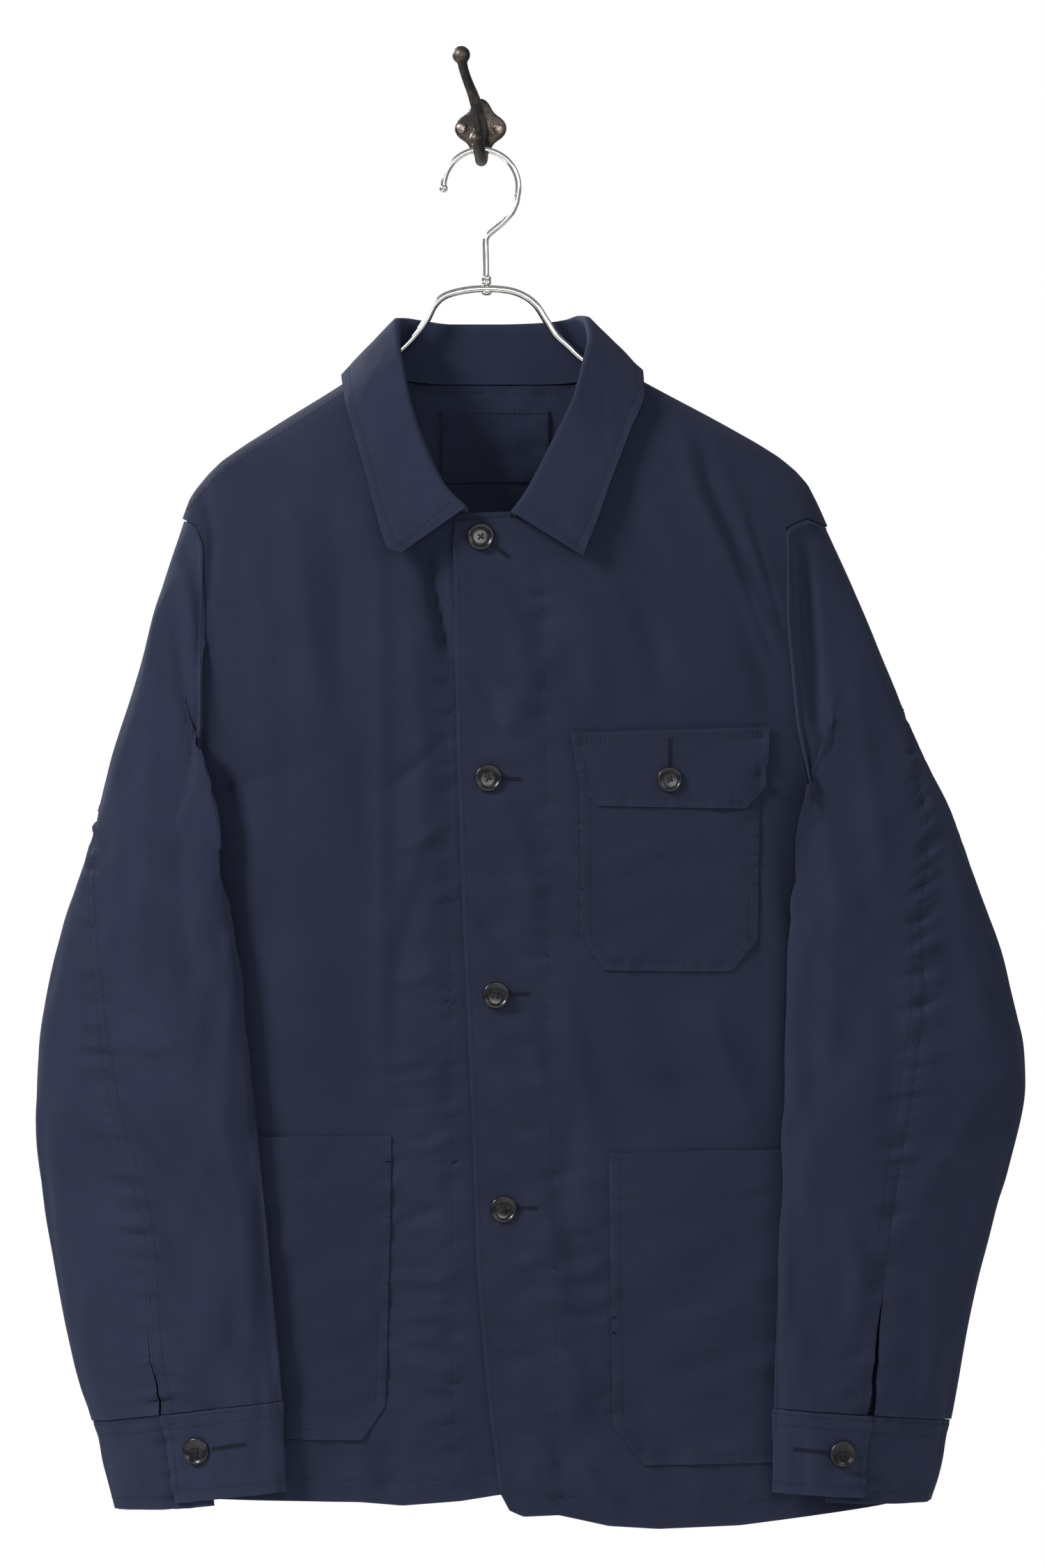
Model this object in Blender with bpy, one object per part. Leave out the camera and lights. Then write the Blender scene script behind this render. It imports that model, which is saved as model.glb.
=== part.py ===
"""A buttoned cotton coverall jacket on a bent-wire hanger, hung from a cast double wall hook.

Every size is in millimetres and is scaled to metres when a mesh is made. The origin is the
centre of the wall hook's back face. The wall is the plane y = 0 and the jacket faces -Y, so a
point is given by x, its depth out from the wall and its drop below the origin. Sides are the
wearer's: the right front is on the viewer's left.
"""

import math

import bmesh
import bpy
import numpy as np

METRES = 0.001
SEAM_GAP = 0.4  # between two pieces that are sewn edge to edge
ARMHOLE_GAP = 1.2  # more, because the sleeve leaves the body at an angle there
ARMHOLE_SQUARE_GAP = 1.4  # added below and behind, where it leaves at a right angle
CLOTH = 1.3  # wall of one layer of twill with its facing or lining turn
LAYER_STEP = 0.4  # air between a panel and what lies on it

for thing in list(bpy.data.objects):
    bpy.data.objects.remove(thing, do_unlink=True)


# ---------------------------------------------------------------- shared tools


def table(columns, rows):
    """A dictionary of arrays, one for each named column."""
    return {name: np.array([row[i] for row in rows], float) for i, name in enumerate(columns)}


def unit(vector):
    return vector / np.linalg.norm(vector)


def unit_rows(vectors):
    return vectors / np.linalg.norm(vectors, axis=-1, keepdims=True)


def through(at, knots, values):
    """A smooth monotone curve through the values at the knots, level beyond its ends."""
    knots = np.asarray(knots, float)
    values = np.asarray(values, float)
    at = np.clip(at, knots[0], knots[-1])
    step = np.diff(knots)
    slope = np.diff(values) / step
    tangent = np.zeros(len(knots))
    tangent[0] = slope[0]
    tangent[-1] = slope[-1]
    rising = slope[:-1] * slope[1:] > 0
    total = np.where(rising, slope[:-1] + slope[1:], 1.0)
    tangent[1:-1] = np.where(rising, 2 * slope[:-1] * slope[1:] / total, 0.0)
    i = np.clip(np.searchsorted(knots, at, side="right") - 1, 0, len(step) - 1)
    t = (at - knots[i]) / step[i]
    rise = step[i] * t * (1 - t) * ((1 - t) * tangent[i] - t * tangent[i + 1])
    return values[i] + (values[i + 1] - values[i]) * t * t * (3 - 2 * t) + rise


def along(points, share):
    """Points at the given shares of a corner-to-corner line's length."""
    points = np.asarray(points, float)
    run = np.r_[0, np.cumsum(np.linalg.norm(np.diff(points, axis=0), axis=1))]
    return np.stack([np.interp(np.asarray(share) * run[-1], run, c) for c in points.T], -1)


def relief(x, drop, folds):
    """Height of the soft ridges (+) and troughs (-) at each point, from a table of folds."""
    total = np.zeros(np.shape(x))
    for path, width, height in folds:
        path = np.asarray(path, float)
        run = np.r_[0, np.cumsum(np.linalg.norm(np.diff(path, axis=0), axis=1))]
        nearest = np.full(np.shape(x), np.inf)
        share = np.zeros(np.shape(x))
        for (x0, d0), (x1, d1), start, end in zip(path, path[1:], run, run[1:]):
            length = end - start
            t = ((x - x0) * (x1 - x0) + (drop - d0) * (d1 - d0)) / length**2
            t = np.clip(t, 0, 1)
            away = np.hypot(x - x0 - t * (x1 - x0), drop - d0 - t * (d1 - d0))
            closer = away < nearest
            nearest = np.where(closer, away, nearest)
            share = np.where(closer, (start + t * length) / run[-1], share)
        ends = np.sin(np.pi * np.clip(share, 0.02, 0.98)) ** 0.5
        total = total + height * ends * np.exp(-((nearest / width) ** 2))
    return total


def material(name, colour, roughness, metallic=0.0):
    made = bpy.data.materials.new(name)
    made.use_nodes = True
    shader = made.node_tree.nodes["Principled BSDF"]
    shader.inputs["Base Color"].default_value = (*colour, 1)
    shader.inputs["Roughness"].default_value = roughness
    shader.inputs["Metallic"].default_value = metallic
    made.diffuse_color = (*colour, 1)
    return made


NAVY_TWILL = material("navy_twill", (0.022, 0.026, 0.052), 0.75)
NAVY_PATCH = material("navy_patch", (0.018, 0.021, 0.043), 0.8)
BLACK_BUTTON = material("black_button", (0.012, 0.012, 0.014), 0.28)
POLISHED_STEEL = material("polished_steel", (0.72, 0.72, 0.70), 0.18, 1.0)
CAST_IRON = material("cast_iron", (0.035, 0.033, 0.031), 0.55, 0.8)
BRONZED_SCREW = material("bronzed_screw", (0.30, 0.26, 0.24), 0.4, 0.9)


def add_object(name, vertices, faces, finish):
    """A closed mesh object from points in millimetres, shaded smooth with its edges sharp."""
    mesh = bpy.data.meshes.new(name)
    mesh.from_pydata([tuple(v) for v in np.asarray(vertices) * METRES], [], faces)
    mesh.materials.append(finish)
    work = bmesh.new()
    work.from_mesh(mesh)
    bmesh.ops.recalc_face_normals(work, faces=work.faces)
    if work.calc_volume(signed=True) < 0:
        bmesh.ops.reverse_faces(work, faces=work.faces)
    work.to_mesh(mesh)
    work.free()
    mesh.shade_smooth()
    mesh.set_sharp_from_angle(angle=math.radians(50))
    made = bpy.data.objects.new(name, mesh)
    bpy.context.scene.collection.objects.link(made)
    return made


def wall(name, base, normals, low, high, finish):
    """A closed cloth wall over a grid of points, from `low` to `high` along the normals."""
    rows, columns, _ = base.shape
    layers = np.concatenate([(base + normals * high), (base + normals * low)])
    vertices = layers.reshape(-1, 3)
    inner = rows * columns

    def at(i, j):
        return i * columns + j

    faces = []
    for i in range(rows - 1):
        for j in range(columns - 1):
            quad = (at(i, j), at(i, j + 1), at(i + 1, j + 1), at(i + 1, j))
            faces.append(quad)
            faces.append(tuple(inner + k for k in reversed(quad)))
    rim = [at(0, j) for j in range(columns)]
    rim += [at(i, columns - 1) for i in range(1, rows)]
    rim += [at(rows - 1, j) for j in range(columns - 2, -1, -1)]
    rim += [at(i, 0) for i in range(rows - 2, 0, -1)]
    for a, b in zip(rim, rim[1:] + rim[:1]):
        faces.append((b, a, inner + a, inner + b))
    return add_object(name, vertices, faces, finish)


def square_to(surface, u, v, u_step, v_step):
    """Unit vectors square to surface(u, v), read over short steps, all on one side of it."""
    du = surface(u + u_step, v) - surface(u - u_step, v)
    dv = surface(u, v + v_step) - surface(u, v - v_step)
    return unit_rows(np.cross(du, dv))


def normals_of(surface, u, v, outward):
    """Unit normals of surface(u, v), each on the side of `outward`."""
    normal = square_to(surface, u, v, 0.02, 0.02)
    return normal * np.where(np.sum(normal * outward, -1, keepdims=True) < 0, -1, 1)


# ------------------------------------------------------------ the body's form

# The ridge that the hanger holds up: the shoulder seams, level across the neck hole.
RIDGE_DEPTH = 30.0
RIDGE = table(
    ("x", "drop"),
    (
        (-196, 262), (-189, 243), (-181, 232), (-171, 221), (-137, 198), (-89, 168), (-66, 152),
        (-52, 144), (10, 140), (68, 145), (80, 152), (108, 168), (162, 197), (194, 216),
        (205, 225), (213, 234), (222, 252), (228, 266),
    ),
)  # fmt: skip

# Body sections from the shoulders down: where the side seams lie, and how far the front
# and the back stand out from the wall at the middle and at the side seam.
SECTIONS = table(
    ("drop", "right", "left", "side_depth", "front_depth", "back_depth"),
    (
        (150, -206, 236, 30, 76, 14),
        (300, -207, 238, 34, 82, 13),
        (460, -207, 242, 39, 85, 12),
        (700, -208, 258, 40, 87, 11),
        (910, -208, 268, 40, 88, 10),
    ),
)
FRONT_POWER = 2.3  # of the section's curve: 2 is an ellipse, more is flatter in the middle
BACK_POWER = 3.6
FRONT_ROUND = 140.0  # drop over which the front turns down from the ridge
BACK_ROUND = 45.0

# The largest folds of the fronts: their line in x and drop, then half width and height.
FRONT_FOLDS = (
    (((129, 182), (138, 233), (158, 274), (176, 312), (200, 341)), 7, 4.0),
    (((139, 185), (150, 240), (168, 282), (190, 322)), 5, -3.5),
    (((155, 214), (168, 252), (184, 292), (202, 336)), 6, 3.5),
    (((160, 290), (172, 325), (184, 360), (188, 392)), 8, -4.0),
    (((-77, 232), (-67, 283), (-64, 353), (-63, 650)), 6, 2.2),
    (((-38, 270), (-29, 310), (-20, 352)), 6, -5.0),
    (((14, 402), (24, 380), (42, 350), (54, 332)), 9, 2.2),
    (((-30, 735), (-6, 770), (10, 830)), 12, 2.5),
    (((40, 700), (52, 760), (60, 850)), 14, 2.2),
    (((-130, 300), (-118, 450), (-112, 620)), 22, 3.0),
    (((120, 580), (135, 640), (150, 660)), 12, -2.2),
)
BACK_FOLDS = (
    (((-150, 260), (-110, 420), (-96, 640), (-92, 880)), 24, 4.0),
    (((170, 270), (130, 430), (118, 660), (116, 880)), 26, 4.0),
    (((-40, 210), (-8, 420), (6, 700), (8, 880)), 20, -3.0),
    (((-176, 300), (-140, 360), (-90, 400)), 10, 3.0),
    (((200, 300), (160, 365), (108, 405)), 10, 3.0),
)


def ridge_drop(x):
    return through(x, RIDGE["x"], RIDGE["drop"])


def section(drop, column):
    return through(drop, SECTIONS["drop"], SECTIONS[column])


def across(x, drop, power):
    """1 at the middle of the body, falling to 0 at the side seams."""
    right = section(drop, "right")
    left = section(drop, "left")
    share = np.abs((x - (right + left) / 2) / ((left - right) / 2))
    return (1 - np.clip(share, 0, 1) ** power) ** (1 / power)


def turned_down(x, drop, height):
    """0 on the ridge, rising to 1 at `height` below it, as a quarter of an ellipse."""
    below = np.clip((drop - ridge_drop(x)) / height, 0, 1)
    return np.sqrt(1 - (1 - below) ** 2)


def front_depth(x, drop):
    """Depth of the fronts' outer face."""
    side = section(drop, "side_depth")
    middle = across(x, drop, FRONT_POWER)
    full = side + (section(drop, "front_depth") - side) * middle
    turn = turned_down(x, drop, FRONT_ROUND)
    folds = relief(x, drop, FRONT_FOLDS) * turn * middle**0.5
    return RIDGE_DEPTH + SEAM_GAP / 2 + (full - RIDGE_DEPTH) * turn + folds


def back_depth(x, drop):
    """Depth of the back's outer face, which is nearer to the wall."""
    side = section(drop, "side_depth")
    middle = across(x, drop, BACK_POWER)
    full = side + (section(drop, "back_depth") - side) * middle
    turn = turned_down(x, drop, BACK_ROUND)
    folds = relief(x, drop, BACK_FOLDS) * turn * middle**0.5
    return RIDGE_DEPTH - SEAM_GAP / 2 + (full - RIDGE_DEPTH) * turn + folds


def on_front(x, drop):
    return np.stack([x, -front_depth(x, drop), -drop], -1)


def on_back(x, drop):
    return np.stack([x, -back_depth(x, drop), -drop], -1)


def panel_grid(top, bottom, inner, outer, u, v):
    """x and drop over a patch with four edges. u runs from inner to outer, v downwards."""
    t = along(top, u)[None, :, :]
    b = along(bottom, u)[None, :, :]
    i = along(inner, v)[:, None, :]
    o = along(outer, v)[:, None, :]
    u = np.asarray(u)[None, :, None]
    v = np.asarray(v)[:, None, None]
    corners = (1 - u) * (1 - v) * i[0] + u * (1 - v) * o[0]
    corners = corners + (1 - u) * v * i[-1] + u * v * o[-1]
    grid = (1 - u) * i + u * o + (1 - v) * t + v * b - corners
    x = np.clip(grid[..., 0], section(grid[..., 1], "right"), section(grid[..., 1], "left"))
    return x, np.maximum(grid[..., 1], ridge_drop(x))


def corners(line, count=None):
    """Shares of a line's length at its first corners."""
    run = np.r_[0, np.cumsum(np.linalg.norm(np.diff(np.asarray(line, float), axis=0), axis=1))]
    return (run / run[-1])[:count]


def filled(marks, count):
    """The marks in order, with more between them where the gaps are widest."""
    marks = sorted(marks)
    least = 1e-3 * (marks[-1] - marks[0])
    marks = [a for a, b in zip(marks, marks[1:]) if b - a > least] + marks[-1:]
    while len(marks) < count:
        widest = int(np.argmax(np.diff(marks)))
        marks.insert(widest + 1, (marks[widest] + marks[widest + 1]) / 2)
    return np.array(marks)


# --------------------------------------------------------------- the edge lines

# Each line is corner to corner in x and drop, at the middle of its seam.
# The fronts' armholes are scooped out below the arm, where the sleeve hides them.
FRONT_ARMHOLES = {
    "right": (
        (-194, 257), (-184, 262), (-179, 275), (-179, 325), (-179, 390), (-184, 432), (-193, 452),
        (-207, 462),
    ),
    "left": (
        (226, 262), (212, 257), (198, 263), (198, 325), (204, 389), (213, 434), (226, 454),
        (242, 466),
    ),
}  # fmt: skip
BACK_ARMHOLES = {
    "right": (
        (-194, 257), (-184, 262), (-179, 275), (-179, 325), (-184, 390), (-195, 435), (-207, 462),
    ),
    "left": ((226, 262), (212, 257), (198, 263), (198, 325), (208, 389), (226, 437), (242, 466)),
}  # fmt: skip
NECK_RIGHT = ((-66, 152), (-64, 180), (-56, 208), (-42, 232), (-26, 247), (-8, 254), (20, 253))
NECK_LEFT = ((80, 152), (79, 180), (72, 207), (58, 232), (42, 248), (22, 257), (-16, 260))
NECK_BACK = (
    (-66, 152), (-62, 157.5), (-57, 163), (-43, 169), (-10, 169), (28, 169), (62, 169), (72, 163),
    (76, 157.5), (80, 152),
)  # fmt: skip
SHOULDER_RIGHT = (-194, -189, -184, -178, -168, -150, -128, -106, -86, -66)
SHOULDER_LEFT = (80, 100, 122, 144, 164, 180, 194, 205, 213, 220, 226)
OVERLAP_EDGE = (
    (-17.5, 272), (-15, 409), (-11, 520), (-6, 631), (-2, 743), (6, 834), (12.6, 885), (19, 897),
)  # fmt: skip
UNDERLAP_EDGE = ((20, 268), (25, 420), (30, 565), (35, 703), (41, 888))
HEM_RIGHT = ((41, 888), (13, 887), (-13, 891), (-50, 894), (-77, 892), (-180, 891), (-208, 895))
HEM_LEFT = ((19, 897), (28, 901), (51, 900), (83, 907), (115, 909), (168, 907), (210, 902), (268, 895))
HEM_BACK_DROP = 892.0
BUTTON_LINE = table(("drop", "x"), ((269.5, 0.5), (425, 5.4), (565, 10.4), (703, 15.3)))


def shoulder(x):
    """The shoulder seam: places on the ridge."""
    return np.stack([x, ridge_drop(x)], -1)


def side_seam(side, start_drop, end_drop, count=6):
    drop = np.linspace(start_drop, end_drop, count)
    return np.stack([section(drop, side), drop], -1)


def inset(line, amount):
    """The line moved sideways in x, so that the pieces at a seam keep their gap."""
    return np.asarray(line, float) + (amount, 0)


def inside_body(x, drop, side):
    """How far a point lies inside the body's edge, in millimetres: armhole, then side seam."""
    armhole = np.array(FRONT_ARMHOLES[side])
    edge = np.where(
        drop < armhole[-1, 1],
        np.interp(drop, armhole[:, 1], armhole[:, 0]),
        section(drop, side),
    )
    return (x - edge) * (1 if side == "right" else -1)


# ------------------------------------------------------------ fronts and back

UNDERLAP_STEP = 2.8  # the underlap lies this far behind the overlap
TUCK_WIDTH = 26.0  # the right front sinks to that depth over this width
TUCK_TOP = 235.0  # drop where it starts to sink, below the neck
TUCK_EASE = 25.0  # and the drop over which it does
CROWDING = 1.35  # above 1, a front's columns stand closer together towards its side seam
FRONT_ROWS = 25


def right_face(x, drop):
    """Outer face of the right front, which sinks behind the overlap."""
    edge = np.interp(drop, [d for _, d in OVERLAP_EDGE], [x for x, _ in OVERLAP_EDGE])
    sunk = np.clip((x - edge + TUCK_WIDTH) / TUCK_WIDTH, 0, 1)
    sunk = sunk * sunk * (3 - 2 * sunk) * np.clip((drop - TUCK_TOP) / TUCK_EASE, 0, 1)
    return on_front(x, drop) + np.stack([0 * x, UNDERLAP_STEP * sunk, 0 * x], -1)


def add_front(name, side, face, neck, edge, hem, shoulder_x, columns):
    """One front: from neck and front edge to armhole and side seam, shoulder seam to hem."""
    inward = ARMHOLE_GAP / 2 if side == "right" else -ARMHOLE_GAP / 2
    armhole = FRONT_ARMHOLES[side]
    seam = side_seam(side, armhole[-1][1], hem[-1][1])[1:]
    outer = np.concatenate([inset(armhole, inward), seam])
    inner = np.concatenate([neck, edge])
    u = 1 - (1 - np.linspace(0, 1, columns)) ** CROWDING
    marks = [0, 1, *corners(inner, len(neck)), *corners(outer, len(armhole))]
    v = filled(marks, FRONT_ROWS)
    x, drop = panel_grid(shoulder(shoulder_x), hem, inner, outer, u, v)
    normal = normals_of(face, x, drop, (0, -1, 0.001))
    return wall(name, face(x, drop), normal, -CLOTH, 0, NAVY_TWILL)


add_front(
    "front_right", "right", right_face, NECK_RIGHT, UNDERLAP_EDGE, HEM_RIGHT, SHOULDER_RIGHT[::-1],
    columns=14,
)  # fmt: skip
add_front(
    "front_left", "left", on_front, NECK_LEFT, OVERLAP_EDGE, HEM_LEFT, SHOULDER_LEFT,
    columns=16,
)  # fmt: skip

BACK_ROWS = 22
BACK_MARKS = (0, 0.004, 0.012, 0.03, 0.055, 1)  # rows close together where it turns over the ridge
HEM_POINTS = 12


def add_back():
    """The back: from the shoulder seams and the neck down to the hem, side seam to side seam."""
    inward = ARMHOLE_GAP / 2
    right_armhole, left_armhole = BACK_ARMHOLES["right"], BACK_ARMHOLES["left"]
    right = side_seam("right", right_armhole[-1][1], HEM_BACK_DROP)[1:]
    right = np.concatenate([inset(right_armhole, inward), right])
    left = side_seam("left", left_armhole[-1][1], HEM_BACK_DROP)[1:]
    left = np.concatenate([inset(left_armhole, -inward), left])
    top = np.concatenate([shoulder(SHOULDER_RIGHT), NECK_BACK[1:-1], shoulder(SHOULDER_LEFT)])
    hem = np.stack([np.linspace(-208, 268, HEM_POINTS), np.full(HEM_POINTS, HEM_BACK_DROP)], -1)
    u = corners(top)
    marks = [*BACK_MARKS, *corners(left, len(left_armhole)), *corners(right, len(right_armhole))]
    v = filled(marks, BACK_ROWS)
    x, drop = panel_grid(top, hem, right, left, u, v)
    normal = normals_of(on_back, x, drop, (0, 1, 0.001))
    wall("back", on_back(x, drop), normal, -CLOTH, 0, NAVY_TWILL)


add_back()

# -------------------------------------------------------------------- sleeves

# Rings down each sleeve below its armhole, each given by its outer and inner edge: x, drop
# and depth of both, how far the front and the back bulge from the line between them, and
# where the elbow seam crosses, as a share of the width from the outer edge (behind if < 0),
# and how far the front folds over the body beyond that outline.
SLEEVE_COLUMNS = (
    "out_x", "out_drop", "out_depth", "in_x", "in_drop", "in_depth", "front", "back", "seam",
    "fold",
)  # fmt: skip
SLEEVE_RINGS = {
    "right": table(
        SLEEVE_COLUMNS,
        (
            (-207, 301, 33, -205, 470, 62, 18, 13, -0.30, 16),
            (-222, 355, 36, -180, 488, 78, 19, 13, -0.22, 24),
            (-240, 414, 40, -165, 498, 81, 19, 13, -0.10, 8),
            (-254, 468, 43, -159, 522, 82, 19, 13, 0.02, 0),
            (-271, 520, 45, -154, 554, 83, 19, 13, 0.15, 0),
            (-283.5, 580, 47, -149, 601, 84, 19, 13, 0.26, 0),
            (-288, 640, 48, -144, 655, 85, 19, 13, 0.34, 0),
            (-281, 715, 48, -137, 722, 86, 18, 13, 0.43, 0),
            (-268, 787, 49, -131, 784, 87, 17, 13, 0.39, 0),
            (-252, 842, 50, -127.5, 826, 88, 16, 13, 0.37, 0),
            (-237, 898, 50, -124, 884, 88, 15, 13, 0.35, 0),
        ),
    ),
    "left": table(
        SLEEVE_COLUMNS,
        (
            (244, 305, 33, 240, 474, 62, 18, 13, -0.30, 16),
            (264.5, 355, 36, 214, 490, 78, 19, 13, -0.14, 24),
            (284, 403, 40, 201.5, 500, 81, 19, 13, 0.04, 8),
            (305, 447, 43, 200, 520, 83, 19, 13, 0.14, 0),
            (323, 495, 45, 198.5, 549, 84, 19, 13, 0.30, 0),
            (344, 558, 47, 197, 594, 85, 19, 13, 0.39, 0),
            (353, 622, 48, 195.5, 642, 86, 19, 13, 0.47, 0),
            (339, 690, 48, 194, 700, 87, 18, 13, 0.49, 0),
            (321.5, 760, 49, 192, 764, 88, 17, 13, 0.48, 0),
            (306, 841, 50, 190, 831, 88, 16, 13, 0.46, 0),
            (294.5, 893, 50, 189, 885, 88, 15, 13, 0.45, 0),
        ),
    ),
}
CUFF_RING = 10  # the sleeve's pieces end at this ring and the cuff runs from it to the last
LAST_RING = 11
INSEAM = 191.0  # degrees round the ring from the outer edge, over the front
FOLD_BEFORE = (30, 140)  # degrees where the front's fold starts, and how many it covers
FOLD_BEHIND = (180, 105)
BEHIND = {"right": 1.5, "left": 1.8}  # the back is drawn outwards this much for 1 of that fold
SQUARE_FROM = 125  # degrees from which the sleeve leaves the front's armhole at a right angle
SQUARE_EASE = 20  # and the degrees over which it turns to that
EDGE_STEP = 0.004  # share of an armhole's length over which its direction is read
TINY = 1e-6  # keeps that direction defined at the last corner
SLEEVE_CLEARANCE = 2.4  # between a sleeve and the front that it hangs before
STEEPEST = 2.5  # the clearance grows with the front's slope, up to this many times
HALF_SWELL = 8.0  # half of what the sleeve's front stands further out than its back
CLEAR_OUTSIDE = 4.0  # the clearance starts this far outside the body's edge
CLEAR_BELOW = 0.3  # and this share of a ring below the armhole
SLEEVE_STEPS = (1.0, 0.02)  # degrees and rings over which the sleeve's slope is read
SLEEVE_FOLDS = {
    "right": (
        (((-200, 275), (-194, 330), (-186, 400), (-182, 430)), 6, -3.5),
        (((-231, 622), (-200, 660), (-165, 694)), 9, 3.0),
        (((-205, 727), (-190, 750), (-177, 769)), 8, -3.0),
        (((-154, 690), (-149, 740), (-147, 790)), 6, 2.5),
        (((-223, 418), (-236, 500), (-240, 540)), 12, 2.5),
    ),
    "left": (
        (((208, 236), (206, 262), (211, 300), (216, 352), (220, 392)), 5, -5.0),
        (((211, 545), (212, 620), (211, 670)), 9, -2.2),
        (((345, 613), (326, 631), (305, 665), (280, 706), (265, 727)), 8, 3.5),
        (((292, 706), (271, 745)), 7, -2.5),
        (((226, 373), (232, 410)), 8, 2.0),
    ),
}


def armhole_ring(side, angle):
    """The armhole at each angle: down the front's edge to 180 degrees, back up the back's."""
    over_front = angle <= 180
    share = np.where(over_front, angle, 360 - angle) / 180
    share = np.clip(share, 0, 1)
    before, behind = along(FRONT_ARMHOLES[side], share), along(BACK_ARMHOLES[side], share)
    line = np.where(over_front[..., None], before, behind)
    further = np.clip(share + EDGE_STEP, 0, 1)
    before, behind = along(FRONT_ARMHOLES[side], further), along(BACK_ARMHOLES[side], further)
    heading = np.where(over_front[..., None], before, behind) - line + (0, TINY)
    square = unit_rows(np.stack([heading[..., 1], -heading[..., 0]], -1))
    squarely = np.where(over_front, angle - SQUARE_FROM, 360 - angle) / SQUARE_EASE
    away = ARMHOLE_GAP / 2 + ARMHOLE_SQUARE_GAP * np.clip(squarely, 0, 1)
    away = away * (1 if side == "left" else -1)
    x = line[..., 0] + away * square[..., 0]
    drop = line[..., 1] + away * square[..., 1]
    depth = np.where(over_front, front_depth(x, drop), back_depth(x, drop))
    return np.stack([x, -depth, -drop], -1)


def ring_point(side, index, angle):
    """A point of one of the rings below the armhole."""
    ring = {name: values[index] for name, values in SLEEVE_RINGS[side].items()}
    outer = np.array((ring["out_x"], -ring["out_depth"], -ring["out_drop"]))
    inner = np.array((ring["in_x"], -ring["in_depth"], -ring["in_drop"]))
    turn = np.radians(angle)[..., None]
    bulge = np.where(turn < math.pi, ring["front"], ring["back"]) * np.sin(turn)
    ring_line = (outer + inner) / 2 + (outer - inner) / 2 * np.cos(turn)
    degrees = np.degrees(turn)
    before = np.sin(math.pi * np.clip((degrees - FOLD_BEFORE[0]) / FOLD_BEFORE[1], 0, 1))
    behind = np.sin(math.pi * np.clip((degrees - FOLD_BEHIND[0]) / FOLD_BEHIND[1], 0, 1)) ** 2
    over = ring["fold"] * np.where(turn < math.pi, before, -BEHIND[side] * behind)
    aside = np.array((-1 if side == "left" else 1, 0, 0))
    return ring_line + bulge * np.array((0, -1, 0)) + over * aside


def sleeve(side):
    """The sleeve's outer face at an angle round it and a place down it, in rings."""

    def surface(angle, place):
        angle = np.mod(angle, 360)
        rings = [armhole_ring(side, angle)]
        rings += [ring_point(side, i, angle) for i in range(LAST_RING)]
        rings = np.stack([2 * rings[0] - rings[1], *rings, 2 * rings[-1] - rings[-2]])
        i = np.clip(np.floor(place), 0, LAST_RING - 1).astype(int)
        t = (place - i)[..., None]
        before, start, end, after = (
            np.take_along_axis(rings, (i + k)[None, ..., None], axis=0)[0] for k in range(4)
        )
        rise = t * (1 - t) * ((1 - t) * (end - before) - t * (after - start)) / 2
        ease = t * t * (3 - 2 * t)
        point = start + (end - start) * ease + rise
        return laid_clear(point, angle, place)

    def laid_clear(point, angle, place):
        """Folds on the front half, and the whole sleeve kept before the body's front."""
        x, drop = point[..., 0], -point[..., 2]
        facing = np.sin(np.radians(angle))
        fold = relief(x, drop, SLEEVE_FOLDS[side]) * np.clip(facing * 2, 0, 1)
        depth = -point[..., 1] + fold * np.clip(place, 0, 1)
        steepness = np.hypot(1, (front_depth(x + 1, drop) - front_depth(x - 1, drop)) / 2)
        clear = (SLEEVE_CLEARANCE + CLOTH) * np.clip(steepness, 1, STEEPEST)
        least = front_depth(x, drop) + clear + HALF_SWELL * (facing + 1)
        share = np.clip(inside_body(x, drop, side) / CLEAR_OUTSIDE + 1, 0, 1)
        share = share * np.clip(place / CLEAR_BELOW, 0, 1)
        depth = depth + np.maximum(least - depth, 0) * share
        return np.stack([x, -depth, point[..., 2]], -1)

    return surface


def sleeve_normals(side, angle, place):
    """Normals of the sleeve's face, on the side that faces forward at the elbow's front."""
    elbow = square_to(sleeve(side), np.array([90.0]), np.array([5.0]), *SLEEVE_STEPS)[0]
    return square_to(sleeve(side), angle, place, *SLEEVE_STEPS) * (1 if elbow[1] < 0 else -1)


def seam_angle(side, place):
    """Where the elbow seam crosses each ring, in degrees from the outer edge."""
    share = SLEEVE_RINGS[side]["seam"]
    knots = np.arange(LAST_RING + 1)
    share = through(place, knots, np.r_[share[0], share])
    return np.sign(share) * np.degrees(np.arccos(1 - 2 * np.abs(share)))


SLIT_START = 8.9  # ring where the cuff's slit opens in the elbow seam
SLIT_WIDTH = {"right": 0.7, "left": 2.2}  # degrees on each side of the seam, at the cuff
SEAM_SHARE = 0.35  # degrees that a seam's gap takes on each side
CUFF_SEAM = 0.008  # of a ring, on each side of the seam between sleeve and cuff


def add_sleeve_piece(name, side, angles_at, columns):
    """One piece of a sleeve, with its columns on the armhole's corners where it starts."""
    place = np.r_[np.linspace(0, 3, 8)[:-1], np.linspace(3, CUFF_RING - CUFF_SEAM, 14)]
    share = np.linspace(0, 1, columns)[None, :]
    start, end = angles_at(place)
    angle = start[:, None] * (1 - share) + end[:, None] * share
    before = 180 * corners(FRONT_ARMHOLES[side])
    behind = -180 * corners(BACK_ARMHOLES[side])
    marks = np.concatenate([before, behind, behind + 360])
    marks = marks[(marks > start[0]) & (marks < end[0])]
    fitted = filled([start[0], *marks, end[0]], columns)
    angle = angle + (fitted - angle[0]) * np.clip(1 - place / 2, 0, 1)[:, None]
    place = np.broadcast_to(place[:, None], angle.shape)
    surface = sleeve(side)
    wall(name, surface(angle, place), sleeve_normals(side, angle, place), -CLOTH, 0, NAVY_TWILL)


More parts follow.
